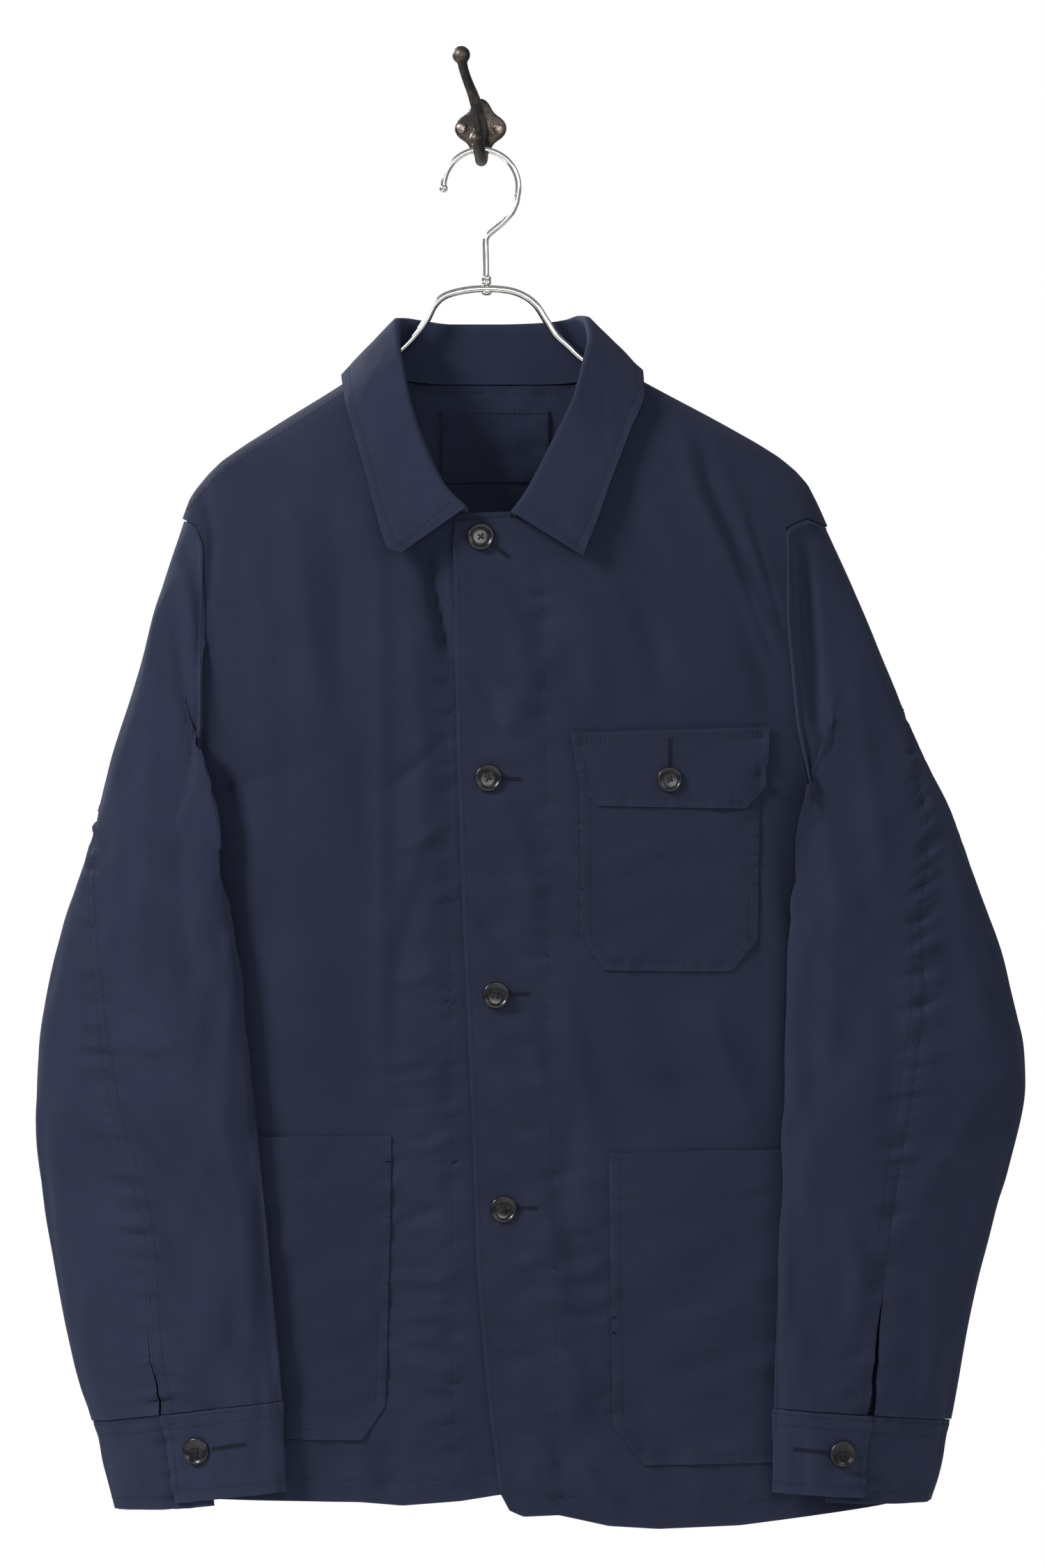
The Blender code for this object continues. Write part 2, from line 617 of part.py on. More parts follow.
def add_sleeve(side):
    """Both pieces, each given by the angles where it starts and ends at every place."""

    def gap(place):
        slit = np.clip((place - SLIT_START) / (CUFF_RING - SLIT_START), 0, 1)
        return SEAM_SHARE + slit * SLIT_WIDTH[side]

    def top_piece(place):
        return seam_angle(side, place) + gap(place), np.full(place.shape, INSEAM - SEAM_SHARE)

    def under_piece(place):
        start = np.full(place.shape, INSEAM + SEAM_SHARE)
        return start, 360 + seam_angle(side, place) - gap(place)

    add_sleeve_piece("sleeve_" + side + "_top", side, top_piece, 14)
    add_sleeve_piece("sleeve_" + side + "_under", side, under_piece, 10)


add_sleeve("right")
add_sleeve("left")

# ---------------------------------------------------------------------- cuffs

CUFF_WALL = 1.8
CUFF_LAP = 26.0  # degrees that the overlap lies over the underlap
CUFF_OUT = 1.4  # the overlap's end stands out this far
CUFF_IN = -2.2  # and the underlap's end lies this far in
UNDERLAP_DROP = 4.0  # the underlap hangs a little lower
UNDERLAP_FROM = 0.72  # share of the cuff's length where it starts to
UNDERLAP_EASE = 0.2  # and the share over which it does


def cuff_grid(side, share, place):
    """Angle round the sleeve and lift from it, at a share of the cuff's length."""
    start = seam_angle(side, place)
    angle = start + share * (360 + CUFF_LAP)
    return angle, CUFF_OUT + (CUFF_IN - CUFF_OUT) * share


def add_cuff(side):
    """A band round the sleeve's end, lapped over itself, a little wider than one turn."""
    share = np.linspace(0, 1, 34)[None, :]
    place = np.linspace(CUFF_RING + CUFF_SEAM, LAST_RING, 3)[:, None]
    angle, lift = cuff_grid(side, share, place)
    place = np.broadcast_to(place, angle.shape)
    surface = sleeve(side)
    normal = sleeve_normals(side, angle, place)
    base = surface(angle, place) + normal * np.broadcast_to(lift, angle.shape)[..., None]
    hang = np.clip((share - UNDERLAP_FROM) / UNDERLAP_EASE, 0, 1) * (place - CUFF_RING)
    base[..., 2] -= UNDERLAP_DROP * hang
    wall("cuff_" + side, base, normal, -CUFF_WALL, 0, NAVY_TWILL)


add_cuff("right")
add_cuff("left")

# --------------------------------------------------------------------- collar

# Stations round the neck from the right end to the left one. Each has the neck seam, the
# roll line's crest and the outer edge. face is 1 on the fronts, -1 on the back and 0 on the
# shoulder seam.
COLLAR = table(
    (
        "face", "neck_x", "neck_drop", "roll_x", "roll_drop", "roll_depth",
        "edge_x", "edge_drop", "edge_depth",
    ),
    (
        (1, -8, 254, -9.5, 251, 92, -51, 280, 92),
        (1, -26, 247, -22, 238, 88, -59, 277, 92),
        (1, -42, 232, -37, 208, 80, -67, 254, 88),
        (1, -56, 208, -44.6, 184, 71, -73.5, 230, 82),
        (1, -64, 180, -50, 160, 60, -81, 203, 70),
        (1, -65.5, 160, -53, 140, 47, -87, 182, 55),
        (0, -66, 152, -53, 127, 34, -90, 163, 30),
        (-1, -62, 157.5, -48, 126.5, 25, -80, 170, 12),
        (-1, -50, 166, -36, 128, 20.5, -60, 176, 9),
        (-1, -20, 169, -18, 130, 18.5, -25, 178, 8),
        (-1, 10, 169, 12, 130, 18, 12, 178.5, 8),
        (-1, 40, 169, 41, 129, 18.5, 48, 178, 8),
        (-1, 65, 167, 56, 127, 20.5, 76, 176, 9),
        (-1, 76, 157.5, 63, 125, 25, 96, 168, 12),
        (0, 80, 152, 68, 126, 34, 105, 160, 30),
        (1, 80, 160, 71, 138, 47, 106, 176, 55),
        (1, 79, 180, 67, 156, 60, 97, 200, 70),
        (1, 72, 207, 61, 178, 71, 84, 234, 82),
        (1, 58, 232, 47, 208, 80, 75, 260, 88),
        (1, 42, 248, 31, 239, 88, 68.5, 276, 92),
        (1, 22, 257, 21, 254, 92, 66.6, 282, 92),
    ),
)
COLLAR_WALL = 1.8
COLLAR_ROLL = 2.1  # radius of the roll, at the middle of the wall
COLLAR_SEAM = 1.6  # from the panel's neck edge to the middle of the collar's first edge
NECK_HOLE = {1: (8, 190), 0: (8, 185), -1: (8, 145)}  # inside the neck, at x and drop, by face
ROLL_FLAT = 0.9  # the roll's crest stands out this share of a half circle
COLLAR_LIFT = 2.2  # from a panel's face to the middle of the collar that lies on it
ROLL_STEPS = 4
STAND_STEPS = 3
FALL_STEPS = 5


def station(values, seam_way):
    """The collar's section at one station: neck seam, up the stand, round the roll, down."""
    face, neck_x, neck_drop, roll_x, roll_drop, roll_depth, edge_x, edge_drop, edge_depth = values
    into_hole = np.array(NECK_HOLE[int(face)]) - (neck_x, neck_drop)
    square = np.array((-seam_way[1], seam_way[0])) if face else into_hole * (1, 0)
    square = unit(square) * COLLAR_SEAM * (1 if np.dot(square, into_hole) > 0 else -1)
    neck_x, neck_drop = neck_x + square[0], neck_drop + square[1]
    depth = back_depth if face < 0 else front_depth
    if abs(face) < 0.5:
        neck_depth = RIDGE_DEPTH
    else:
        neck_depth = float(depth(np.array(neck_x), np.array(neck_drop))) - face * CLOTH / 2
    seam = np.array((neck_x, -neck_depth, -neck_drop))
    crest = np.array((roll_x, -roll_depth, -roll_drop))
    edge = np.array((edge_x, -edge_depth, -edge_drop))
    if abs(face) > 0.5:
        resting = float(depth(np.array(edge_x), np.array(edge_drop))) + face * COLLAR_LIFT
        edge[1] = -(max(edge_depth, resting) if face > 0 else min(edge_depth, resting))
    downwards = unit(unit(seam - crest) + unit(edge - crest))
    middle = crest + downwards * COLLAR_ROLL
    to_seam, to_edge = unit(seam - middle), unit(edge - middle)
    aside = unit((edge - seam) - downwards * np.dot(edge - seam, downwards))
    from_stand = unit(-aside - to_seam * np.dot(-aside, to_seam))
    from_fall = unit(aside - to_edge * np.dot(aside, to_edge))
    stand_top = middle + from_stand * COLLAR_ROLL
    fall_top = middle + from_fall * COLLAR_ROLL
    points = [seam + (stand_top - seam) * k / STAND_STEPS for k in range(STAND_STEPS)]
    for k in range(ROLL_STEPS + 1):
        turn = np.pi * k / ROLL_STEPS
        direction = from_stand * (1 + np.cos(turn)) / 2 + from_fall * (1 - np.cos(turn)) / 2
        direction = direction - downwards * np.sin(turn) * ROLL_FLAT
        points.append(middle + unit(direction) * COLLAR_ROLL)
    for k in range(1, FALL_STEPS + 1):
        points.append(fall_top + (edge - fall_top) * k / FALL_STEPS)
    return np.array(points)


def lie_on_panels(points, faces):
    """Pushes the fall out to where it clears the panel below it."""
    x, drop, depth = points[..., 0], -points[..., 2], -points[..., 1]
    below = drop > ridge_drop(x) - 1
    least = front_depth(x, drop) + COLLAR_LIFT
    most = back_depth(x, drop) - COLLAR_LIFT
    face = faces[:, None]
    fall = np.arange(points.shape[1])[None, :] > STAND_STEPS + ROLL_STEPS
    front = (face > 0.3) & below & fall
    behind = (face < -0.3) & below & fall
    depth = np.where(front, np.maximum(depth, least), depth)
    depth = np.where(behind, np.minimum(depth, most), depth)
    return np.stack([x, -depth, -drop], -1)


def add_collar():
    """The band: a section at each station, with smooth curves through them round the neck."""
    knots = np.arange(len(COLLAR["face"]))
    seam_ways = np.stack([np.gradient(COLLAR["neck_x"]), np.gradient(COLLAR["neck_drop"])], -1)
    sections = [station([values[i] for values in COLLAR.values()], seam_ways[i]) for i in knots]
    sections = np.array(sections)
    at = np.linspace(0, knots[-1], 36)
    flat = sections.reshape(len(knots), -1)
    rows = np.stack([through(at, knots, column) for column in flat.T], -1)
    points = rows.reshape(len(at), -1, 3)
    points = lie_on_panels(points, np.interp(at, knots, COLLAR["face"]))
    dt = np.gradient(points, axis=0)
    ds = np.gradient(points, axis=1)
    normal = unit_rows(np.cross(dt, ds))
    wall("collar", points, normal, -COLLAR_WALL / 2, COLLAR_WALL / 2, NAVY_TWILL)


add_collar()

# -------------------------------------------------------- pockets, flap, patch

PATCH_WALL = 1.0


def add_patch(name, surface, outward, top, bottom, left, right, low, size, mouth=0.0):
    """A flat patch made from the panel's points moved out, standing off by `mouth` at its top."""
    u = np.linspace(0, 1, size[0])
    v = np.linspace(0, 1, size[1])
    x, drop = panel_grid(top, bottom, left, right, u, v)
    normal = normals_of(surface, x, drop, outward)
    stand_off = mouth * np.sin(np.pi * u)[None, :] * (1 - v)[:, None] ** 2
    base = surface(x, drop) + normal * stand_off[..., None]
    return wall(name, base, normal, low, low + PATCH_WALL, NAVY_PATCH)


FRONT = (0, -1, 0.001)
add_patch(
    "chest_pocket", on_front, FRONT,
    top=((64, 401), (181, 398)),
    bottom=((65, 526), (80, 549), (162, 550), (179, 530)),
    left=((64, 401), (65, 526)), right=((181, 398), (179, 530)),
    low=LAYER_STEP, size=(10, 10),
)  # fmt: skip
add_patch(
    "chest_flap", on_front, FRONT,
    top=((58, 396), (187, 392)),
    bottom=((64, 431), (76, 443), (171, 445), (184, 431)),
    left=((58, 396), (64, 431)), right=((187, 392), (184, 431)),
    low=2 * LAYER_STEP + PATCH_WALL, size=(12, 5),
)  # fmt: skip
add_patch(
    "pocket_right", right_face, FRONT,
    top=((-183, 657), (-57, 656)),
    bottom=((-183, 832), (-168, 851), (-76, 852), (-61, 830)),
    left=((-183, 657), (-183, 832)), right=((-57, 656), (-61, 830)),
    low=LAYER_STEP, size=(10, 11), mouth=1.2,
)  # fmt: skip
add_patch(
    "pocket_left", on_front, FRONT,
    top=((83, 667), (243, 664)),
    bottom=((85.5, 843), (106, 868), (226, 866), (244, 842)),
    left=((83, 667), (85.5, 843)), right=((243, 664), (244, 842)),
    low=LAYER_STEP, size=(11, 11), mouth=1.2,
)  # fmt: skip
add_patch(
    "neck_patch", on_back, (0, 1, 0.001),
    top=((-25, 185), (44, 185)), bottom=((-25, 232), (44, 232)),
    left=((-25, 185), (-25, 232)), right=((44, 185), (44, 232)),
    low=-CLOTH - LAYER_STEP - PATCH_WALL, size=(6, 5),
)  # fmt: skip

# -------------------------------------------------------------------- buttons

BUTTON_PROFILE = table(
    ("radius", "height"),
    ((7.4, 0.0), (8.8, 1.2), (8.2, 2.9), (7.2, 2.9), (6.2, 2.1)),
)
BUTTON_SIDES = 16
BUTTON_LIFT = 0.5
FLAP_BUTTON_LIFT = 0.4


def turned(name, profile, sides, centre, axis, finish, size=1.0):
    """A solid turned about an axis through the centre, closed by a flat disc at each end."""
    axis = unit(np.asarray(axis, float))
    aside = unit(np.cross(axis, (0.3, 0.1, 0.9)))
    across_axis = np.cross(axis, aside)
    turn = np.arange(sides) * 2 * np.pi / sides
    spoke = np.cos(turn)[:, None] * aside + np.sin(turn)[:, None] * across_axis
    rings = [
        np.asarray(centre) + size * (radius * spoke + height * axis)
        for radius, height in zip(profile["radius"], profile["height"])
    ]
    faces = [tuple(range(sides))]
    for ring in range(len(rings) - 1):
        for k in range(sides):
            a, b = ring * sides + k, ring * sides + (k + 1) % sides
            faces.append((a, b, b + sides, a + sides))
    faces.append(tuple((len(rings) - 1) * sides + k for k in range(sides)))
    return add_object(name, np.concatenate(rings), faces, finish)


def add_button(name, surface, u, v, outward, lift):
    """A button that lies on a surface at (u, v), `lift` off its face."""
    at = (np.array([float(u)]), np.array([float(v)]))
    normal = normals_of(surface, *at, outward)[0]
    turned(name, BUTTON_PROFILE, BUTTON_SIDES, surface(*at)[0] + normal * lift, normal, BLACK_BUTTON)


for number, (button_drop, button_x) in enumerate(zip(BUTTON_LINE["drop"], BUTTON_LINE["x"]), 1):
    add_button("button_front_%d" % number, on_front, button_x, button_drop, FRONT, BUTTON_LIFT)
FLAP_TOP = 2 * LAYER_STEP + 2 * PATCH_WALL
add_button("button_flap", on_front, 122, 426, FRONT, FLAP_TOP + FLAP_BUTTON_LIFT)

CUFF_BUTTON_LAP = {"right": 0.050, "left": 0.045}  # share of the cuff's length from its end
CUFF_BUTTON_PLACE = 0.45  # share of its height below the seam


def add_cuff_button(side):
    place = np.array([CUFF_RING + CUFF_BUTTON_PLACE])
    angle, lift = cuff_grid(side, CUFF_BUTTON_LAP[side], place)
    surface = sleeve(side)
    outward = surface(angle, place) - surface(angle + 180, place)
    add_button("button_cuff_" + side, surface, angle[0], place[0], outward, lift + BUTTON_LIFT)


add_cuff_button("right")
add_cuff_button("left")

# --------------------------------------------------------------------- hanger

HANGER_RADIUS = 2.3
HOOK_RADIUS = 1.9
UNDER_SHOULDER = 5.7  # the wire's middle lies this far below the ridge
HANGER_SHOWN_RIGHT = (
    (-63, 156), (-53, 147.2), (-44, 138.5), (-35.5, 128), (-30, 117.5), (-23, 111.2), (-10, 107.6),
)  # fmt: skip
HANGER_SHOWN_LEFT = (
    (18, 107.6), (28, 111), (36, 117), (42, 126), (48.5, 136), (57, 143.8), (67, 152.6),
)  # fmt: skip
HOOK_CENTRE = (0.4, 40.4)
HOOK_RING = 24.4
HOOK_LEAD = ((23.6, 50), (20.4, 57), (14, 64), (7, 69.8), (4, 73), (3.4, 77), (3.6, 86), (3.8, 98.1))


def tube(name, path, radius, sides_each_quarter, finish):
    """A round wire along x and drop at the hanger's depth, as a bevelled curve."""
    curve = bpy.data.curves.new(name, "CURVE")
    curve.dimensions = "3D"
    curve.bevel_depth = radius * METRES
    curve.bevel_resolution = sides_each_quarter
    curve.use_fill_caps = True
    spline = curve.splines.new("POLY")
    spline.points.add(len(path) - 1)
    for point, (x, drop) in zip(spline.points, path):
        point.co = (x * METRES, -RIDGE_DEPTH * METRES, -drop * METRES, 1)
    curve.materials.append(finish)
    made = bpy.data.objects.new(name, curve)
    bpy.context.scene.collection.objects.link(made)
    return made


def smoothed(points, count):
    """Evenly spaced points on a smooth curve through the given ones."""
    points = np.asarray(points, float)
    run = np.r_[0, np.cumsum(np.linalg.norm(np.diff(points, axis=0), axis=1))]
    at = np.linspace(0, run[-1], count)
    padded = np.concatenate([[2 * points[0] - points[1]], points, [2 * points[-1] - points[-2]]])
    i = np.clip(np.searchsorted(run, at, side="right") - 1, 0, len(run) - 2)
    t = ((at - run[i]) / (run[i + 1] - run[i]))[:, None]
    before, start, end, after = (padded[i + k] for k in range(4))
    rise = t * (1 - t) * ((1 - t) * (end - before) - t * (after - start)) / 2
    return start + (end - start) * t * t * (3 - 2 * t) + rise


def hanger_path():
    """Under the right shoulder, up through the neck, over the bar and down to the left."""
    right_x = np.linspace(-174, -72, 10)
    left_x = np.linspace(80, 201, 11)
    right = np.stack([right_x, ridge_drop(right_x) + UNDER_SHOULDER], -1)
    left = np.stack([left_x, ridge_drop(left_x) + UNDER_SHOULDER], -1)
    shown = [HANGER_SHOWN_RIGHT, ((4, 106.6),), HANGER_SHOWN_LEFT]
    return smoothed(np.concatenate([right, *shown, left]), 62)


def hook_path():
    """Round the swivel hook from its tip, then down its stem to the bar."""
    turn = np.radians(np.linspace(180, -14, 18))
    ring = np.stack(
        [HOOK_CENTRE[0] + HOOK_RING * np.cos(turn), HOOK_CENTRE[1] - HOOK_RING * np.sin(turn)], -1
    )
    return np.concatenate([ring, smoothed(HOOK_LEAD, 12)])


tube("hanger_wire", hanger_path(), HANGER_RADIUS, 2, POLISHED_STEEL)
tube("hanger_hook", hook_path(), HOOK_RADIUS, 2, POLISHED_STEEL)
NUT = table(("radius", "height"), ((2.6, 0), (3.1, 0.5), (3.1, 5.0), (2.5, 5.5)))
turned("hanger_nut", NUT, 14, (3.9, -RIDGE_DEPTH, -104.0), (0, 0, 1), POLISHED_STEEL)
RIVET = table(("radius", "height"), ((3.3, 0), (3.0, 0.9), (1.8, 1.7)))
turned("hanger_rivet", RIVET, 12, (4.0, -RIDGE_DEPTH, -109.3), (0, 0, -1), POLISHED_STEEL)

# ------------------------------------------------------------------ wall hook

PLATE_THICK = 4.0
PLATE_HALF_WIDTH = 17.0
PLATE_HALF_HEIGHT = 19.5
PLATE_TAPER = 0.93  # the front face's size as a share of the back face's
PLATE_SIDES = 40
LOBE_DEPTH = 0.13  # how far the outline draws in between its four lobes
# Each arm's middle line from inside the plate: x, depth, drop and radius.
UPPER_ARM = ((0.6, 3, 5, 4.6), (0.2, 10, -1, 4.5), (-1.4, 19, -9, 4.2), (-4.5, 28, -19, 3.8),
             (-8.2, 34.5, -28, 3.3), (-10.8, 38, -35.5, 3.1), (-12, 40, -41.5, 3.3))  # fmt: skip
LOWER_PRONG = ((0.6, 3, 9, 4.6), (0.8, 11, 14.5, 4.5), (0.8, 20, 20.0, 4.3), (0.6, 27, 22.5, 4.2),
               (0.5, 33, 22.3, 4.1), (-0.3, 39, 18.6, 4.0), (-1.4, 42, 13.4, 4.0))  # fmt: skip
BALL = (-12.4, 40.5, -44.8, 6.1)
KNOB = (-2.0, 43, 9.8, 5.4)
ARM_STATIONS = 11
ARM_SIDES = 10
SCREWS = {"right": (-12.1, 0.0), "left": (11.5, 0.4)}


def helper(name, mesh):
    """A mesh that is only joined into another one."""
    made = bpy.data.objects.new(name, mesh)
    made.hide_render = True
    made.display_type = "WIRE"
    bpy.context.scene.collection.objects.link(made)
    return made


def arm(name, path):
    """A tapering round bar through the path's points, as a helper mesh."""
    path = np.asarray(path, float)
    centre = np.stack([path[:, 0], -path[:, 1], -path[:, 2]], -1)
    centre = smoothed(centre, ARM_STATIONS)
    share = np.linspace(0, 1, ARM_STATIONS)
    radius = np.interp(share, np.linspace(0, 1, len(path)), path[:, 3])
    heading = np.gradient(centre, axis=0)
    turn = np.arange(ARM_SIDES) * 2 * np.pi / ARM_SIDES
    work = bmesh.new()
    rings = []
    for point, way, r in zip(centre, heading, radius):
        way = unit(way)
        aside = unit(np.cross(way, (1, 0, 0)))
        level = np.cross(aside, way)
        ring = [point + r * (math.cos(a) * aside + math.sin(a) * level) for a in turn]
        rings.append([work.verts.new(p * METRES) for p in ring])
    for one, two in zip(rings, rings[1:]):
        for k in range(ARM_SIDES):
            beside = (k + 1) % ARM_SIDES
            work.faces.new((one[k], one[beside], two[beside], two[k]))
    work.faces.new(rings[0])
    work.faces.new(rings[-1])
    bmesh.ops.recalc_face_normals(work, faces=work.faces)
    mesh = bpy.data.meshes.new(name)
    work.to_mesh(mesh)
    work.free()
    return helper(name, mesh)


def ball(name, values):
    """A round ball given by x, depth, drop and radius, as a helper mesh."""
    x, depth, drop, radius = values
    work = bmesh.new()
    bmesh.ops.create_uvsphere(work, u_segments=12, v_segments=8, radius=radius * METRES)
    bmesh.ops.translate(work, verts=work.verts, vec=(x * METRES, -depth * METRES, -drop * METRES))
    mesh = bpy.data.meshes.new(name)
    work.to_mesh(mesh)
    work.free()
    return helper(name, mesh)


def add_wall_hook():
    """The casting: a four-lobed plate with the upper arm and the lower prong joined to it."""
    sides = PLATE_SIDES
    turn = np.arange(sides) * 2 * np.pi / sides
    lobes = 1 - LOBE_DEPTH + LOBE_DEPTH * np.cos(4 * turn)
    x = PLATE_HALF_WIDTH * np.cos(turn) * lobes
    z = PLATE_HALF_HEIGHT * np.sin(turn) * lobes
    back_ring = np.stack([x, 0 * x, z], -1)
    front_ring = np.stack([x * PLATE_TAPER, 0 * x - PLATE_THICK, z * PLATE_TAPER], -1)
    faces = [tuple(range(sides)), tuple(range(sides, 2 * sides))]
    faces += [(k, (k + 1) % sides, (k + 1) % sides + sides, k + sides) for k in range(sides)]
    casting = add_object("wall_hook", np.concatenate([back_ring, front_ring]), faces, CAST_IRON)
    parts = (
        arm("upper_arm", UPPER_ARM), arm("lower_prong", LOWER_PRONG),
        ball("upper_ball", BALL), ball("prong_knob", KNOB),
    )  # fmt: skip
    for part in parts:
        join = casting.modifiers.new("join_" + part.name, "BOOLEAN")
        join.operation = "UNION"
        join.solver = "EXACT"
        join.object = part


add_wall_hook()
SCREW_HEAD = table(("radius", "height"), ((3.3, 0), (3.3, 0.5), (2.6, 1.3), (1.4, 1.7)))
SCREW_LIFT = 0.3
for side, (screw_x, screw_drop) in SCREWS.items():
    seat = (screw_x, -PLATE_THICK - SCREW_LIFT, -screw_drop)
    turned("hook_screw_" + side, SCREW_HEAD, 12, seat, (0, -1, 0), BRONZED_SCREW)
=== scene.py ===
import math

import bmesh
import bpy
import numpy as np
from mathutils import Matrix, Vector


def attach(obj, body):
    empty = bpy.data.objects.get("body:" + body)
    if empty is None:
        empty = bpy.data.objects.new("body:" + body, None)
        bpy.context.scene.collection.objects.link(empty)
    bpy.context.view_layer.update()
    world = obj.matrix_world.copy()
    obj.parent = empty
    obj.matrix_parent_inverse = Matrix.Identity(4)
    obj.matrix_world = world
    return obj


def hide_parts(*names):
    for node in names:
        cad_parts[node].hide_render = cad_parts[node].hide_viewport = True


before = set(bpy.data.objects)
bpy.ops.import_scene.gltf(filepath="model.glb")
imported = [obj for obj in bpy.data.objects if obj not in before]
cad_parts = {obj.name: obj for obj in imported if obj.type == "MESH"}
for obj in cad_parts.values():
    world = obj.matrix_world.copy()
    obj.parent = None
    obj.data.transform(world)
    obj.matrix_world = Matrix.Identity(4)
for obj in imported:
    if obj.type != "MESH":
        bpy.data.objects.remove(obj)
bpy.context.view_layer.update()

# ------------------------------------------------------------- the studio and the camera
# The jacket hangs in front of plain white under wide soft lights, the stronger one from the
# left, and the camera looks straight at it from far away, so that nothing is foreshortened.

VIEW_CENTRE = (0.0274, -0.075, -0.4289)  # what the middle of the photograph shows
VIEW_HEIGHT = 1.0125
LENS = 200.0
camera = bpy.data.objects.new("camera", bpy.data.cameras.new("camera"))
camera.data.lens = LENS
camera_distance = VIEW_HEIGHT * LENS / camera.data.sensor_width
camera.location = (VIEW_CENTRE[0], VIEW_CENTRE[1] - camera_distance, VIEW_CENTRE[2])
camera.rotation_euler = (math.radians(90), 0, 0)
camera.data.clip_end = 100
bpy.context.scene.collection.objects.link(camera)
bpy.context.scene.camera = camera
bpy.context.scene.view_settings.view_transform = "Standard"

world = bpy.data.worlds.new("white")
world.use_nodes = True
bpy.context.scene.world = world
sky = world.node_tree.nodes["Background"]
sky.inputs["Color"].default_value = (1, 1, 1, 1)
seen = world.node_tree.nodes.new("ShaderNodeLightPath")
dimmed = world.node_tree.nodes.new("ShaderNodeMapRange")
dimmed.inputs["To Min"].default_value = 0.31
dimmed.inputs["To Max"].default_value = 1.0
world.node_tree.links.new(seen.outputs["Is Camera Ray"], dimmed.inputs["Value"])
world.node_tree.links.new(dimmed.outputs["Result"], sky.inputs["Strength"])


def soft_light(name, place, energy, size):
    """A square light that faces the middle of the jacket."""
    light = bpy.data.lights.new(name, "AREA")
    light.energy = energy
    light.size = size
    made = bpy.data.objects.new(name, light)
    made.location = place
    towards = Vector(VIEW_CENTRE) - Vector(place)
    made.rotation_euler = towards.to_track_quat("-Z", "Y").to_euler()
    bpy.context.scene.collection.objects.link(made)


soft_light("light_left", (-2.6, -1.8, 1.55), 156, 0.95)
soft_light("light_right", (1.9, -1.8, 0.7), 14, 1.2)
soft_light("light_front", (0.25, -3.4, 0.3), 30, 1.2)
soft_light("light_back", (-1.7, 1.9, 1.0), 75, 0.9)

floor_mesh = bpy.data.meshes.new("floor")
FLOOR_HALF = 1.6
FLOOR_DROP = 1.3
floor_mesh.from_pydata(
    [(x * FLOOR_HALF, y * FLOOR_HALF, -FLOOR_DROP) for x, y in ((-1, -1), (1, -1), (1, 1), (-1, 1))],
    [], [(0, 1, 2, 3)],
)
floor = bpy.data.objects.new("floor", floor_mesh)
pale = bpy.data.materials.new("pale_floor")
pale.use_nodes = True
pale.node_tree.nodes["Principled BSDF"].inputs["Base Color"].default_value = (0.8, 0.8, 0.8, 1)
pale.node_tree.nodes["Principled BSDF"].inputs["Roughness"].default_value = 0.7
floor_mesh.materials.append(pale)
bpy.context.scene.collection.objects.link(floor)

# ------------------------------------------------------------------------- the wall hook
# One iron casting: a four-lobed plate with a long upper arm that ends in a ball and a short
# prong with a knob, poured as one piece, blackened, and rubbed brown where hands reach it.

METRES = 0.001


def unit(vector):
    return vector / np.linalg.norm(vector)


def unit_rows(vectors):
    return vectors / np.maximum(np.linalg.norm(vectors, axis=-1, keepdims=True), 1e-12)


def smoothed(points, count):
    """Evenly spaced points on a smooth curve through the given ones."""
    points = np.asarray(points, float)
    run = np.r_[0, np.cumsum(np.linalg.norm(np.diff(points, axis=0), axis=1))]
    at = np.linspace(0, run[-1], count)
    padded = np.concatenate([[2 * points[0] - points[1]], points, [2 * points[-1] - points[-2]]])
    i = np.clip(np.searchsorted(run, at, side="right") - 1, 0, len(run) - 2)
    t = ((at - run[i]) / (run[i + 1] - run[i]))[:, None]
    before, start, end, after = (padded[i + k] for k in range(4))
    rise = t * (1 - t) * ((1 - t) * (end - before) - t * (after - start)) / 2
    return start + (end - start) * t * t * (3 - 2 * t) + rise


def add_piece(name, vertices, faces, finish, slot):
    """A mesh object from points in millimetres, its faces outwards, that rides on the one body."""
    mesh = bpy.data.meshes.new(name)
    mesh.from_pydata([tuple(v) for v in np.asarray(vertices) * METRES], [], faces)
    mesh.materials.append(finish)
    work = bmesh.new()
    work.from_mesh(mesh)
    bmesh.ops.recalc_face_normals(work, faces=work.faces)
    if work.calc_volume(signed=True) < 0:
        bmesh.ops.reverse_faces(work, faces=work.faces)
    work.to_mesh(mesh)
    work.free()
    mesh.shade_smooth()
    made = bpy.data.objects.new(name, mesh)
    bpy.context.scene.collection.objects.link(made)
    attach(made, "root")
    return made


def settled(made):
    """The object with its modifiers worked into its mesh."""
    evaluated = made.evaluated_get(bpy.context.evaluated_depsgraph_get())
    mesh = bpy.data.meshes.new_from_object(evaluated)
    made.modifiers.clear()
    made.data = mesh
    return made


def new_material(name, roughness, metallic=0.0, specular=0.5):
    made = bpy.data.materials.new(name)
    made.use_nodes = True
    shader = made.node_tree.nodes["Principled BSDF"]
    shader.inputs["Roughness"].default_value = roughness
    shader.inputs["Metallic"].default_value = metallic
    shader.inputs["Specular IOR Level"].default_value = specular
    return made, made.node_tree, shader


def node(tree, kind, settings=(), **inputs):
    """A node with its settings and its inputs: a value, or the socket that feeds it."""
    made = tree.nodes.new(kind)
    for key, value in dict(settings).items():
        setattr(made, key, value)
    for key, value in inputs.items():
        key = key.replace("_", " ")
        socket = made.inputs[int(key[1:])] if key[0] == "i" and key[1:].isdigit() else made.inputs[key]
        if isinstance(value, bpy.types.NodeSocket):
            tree.links.new(value, socket)
        else:
            socket.default_value = value
    return made


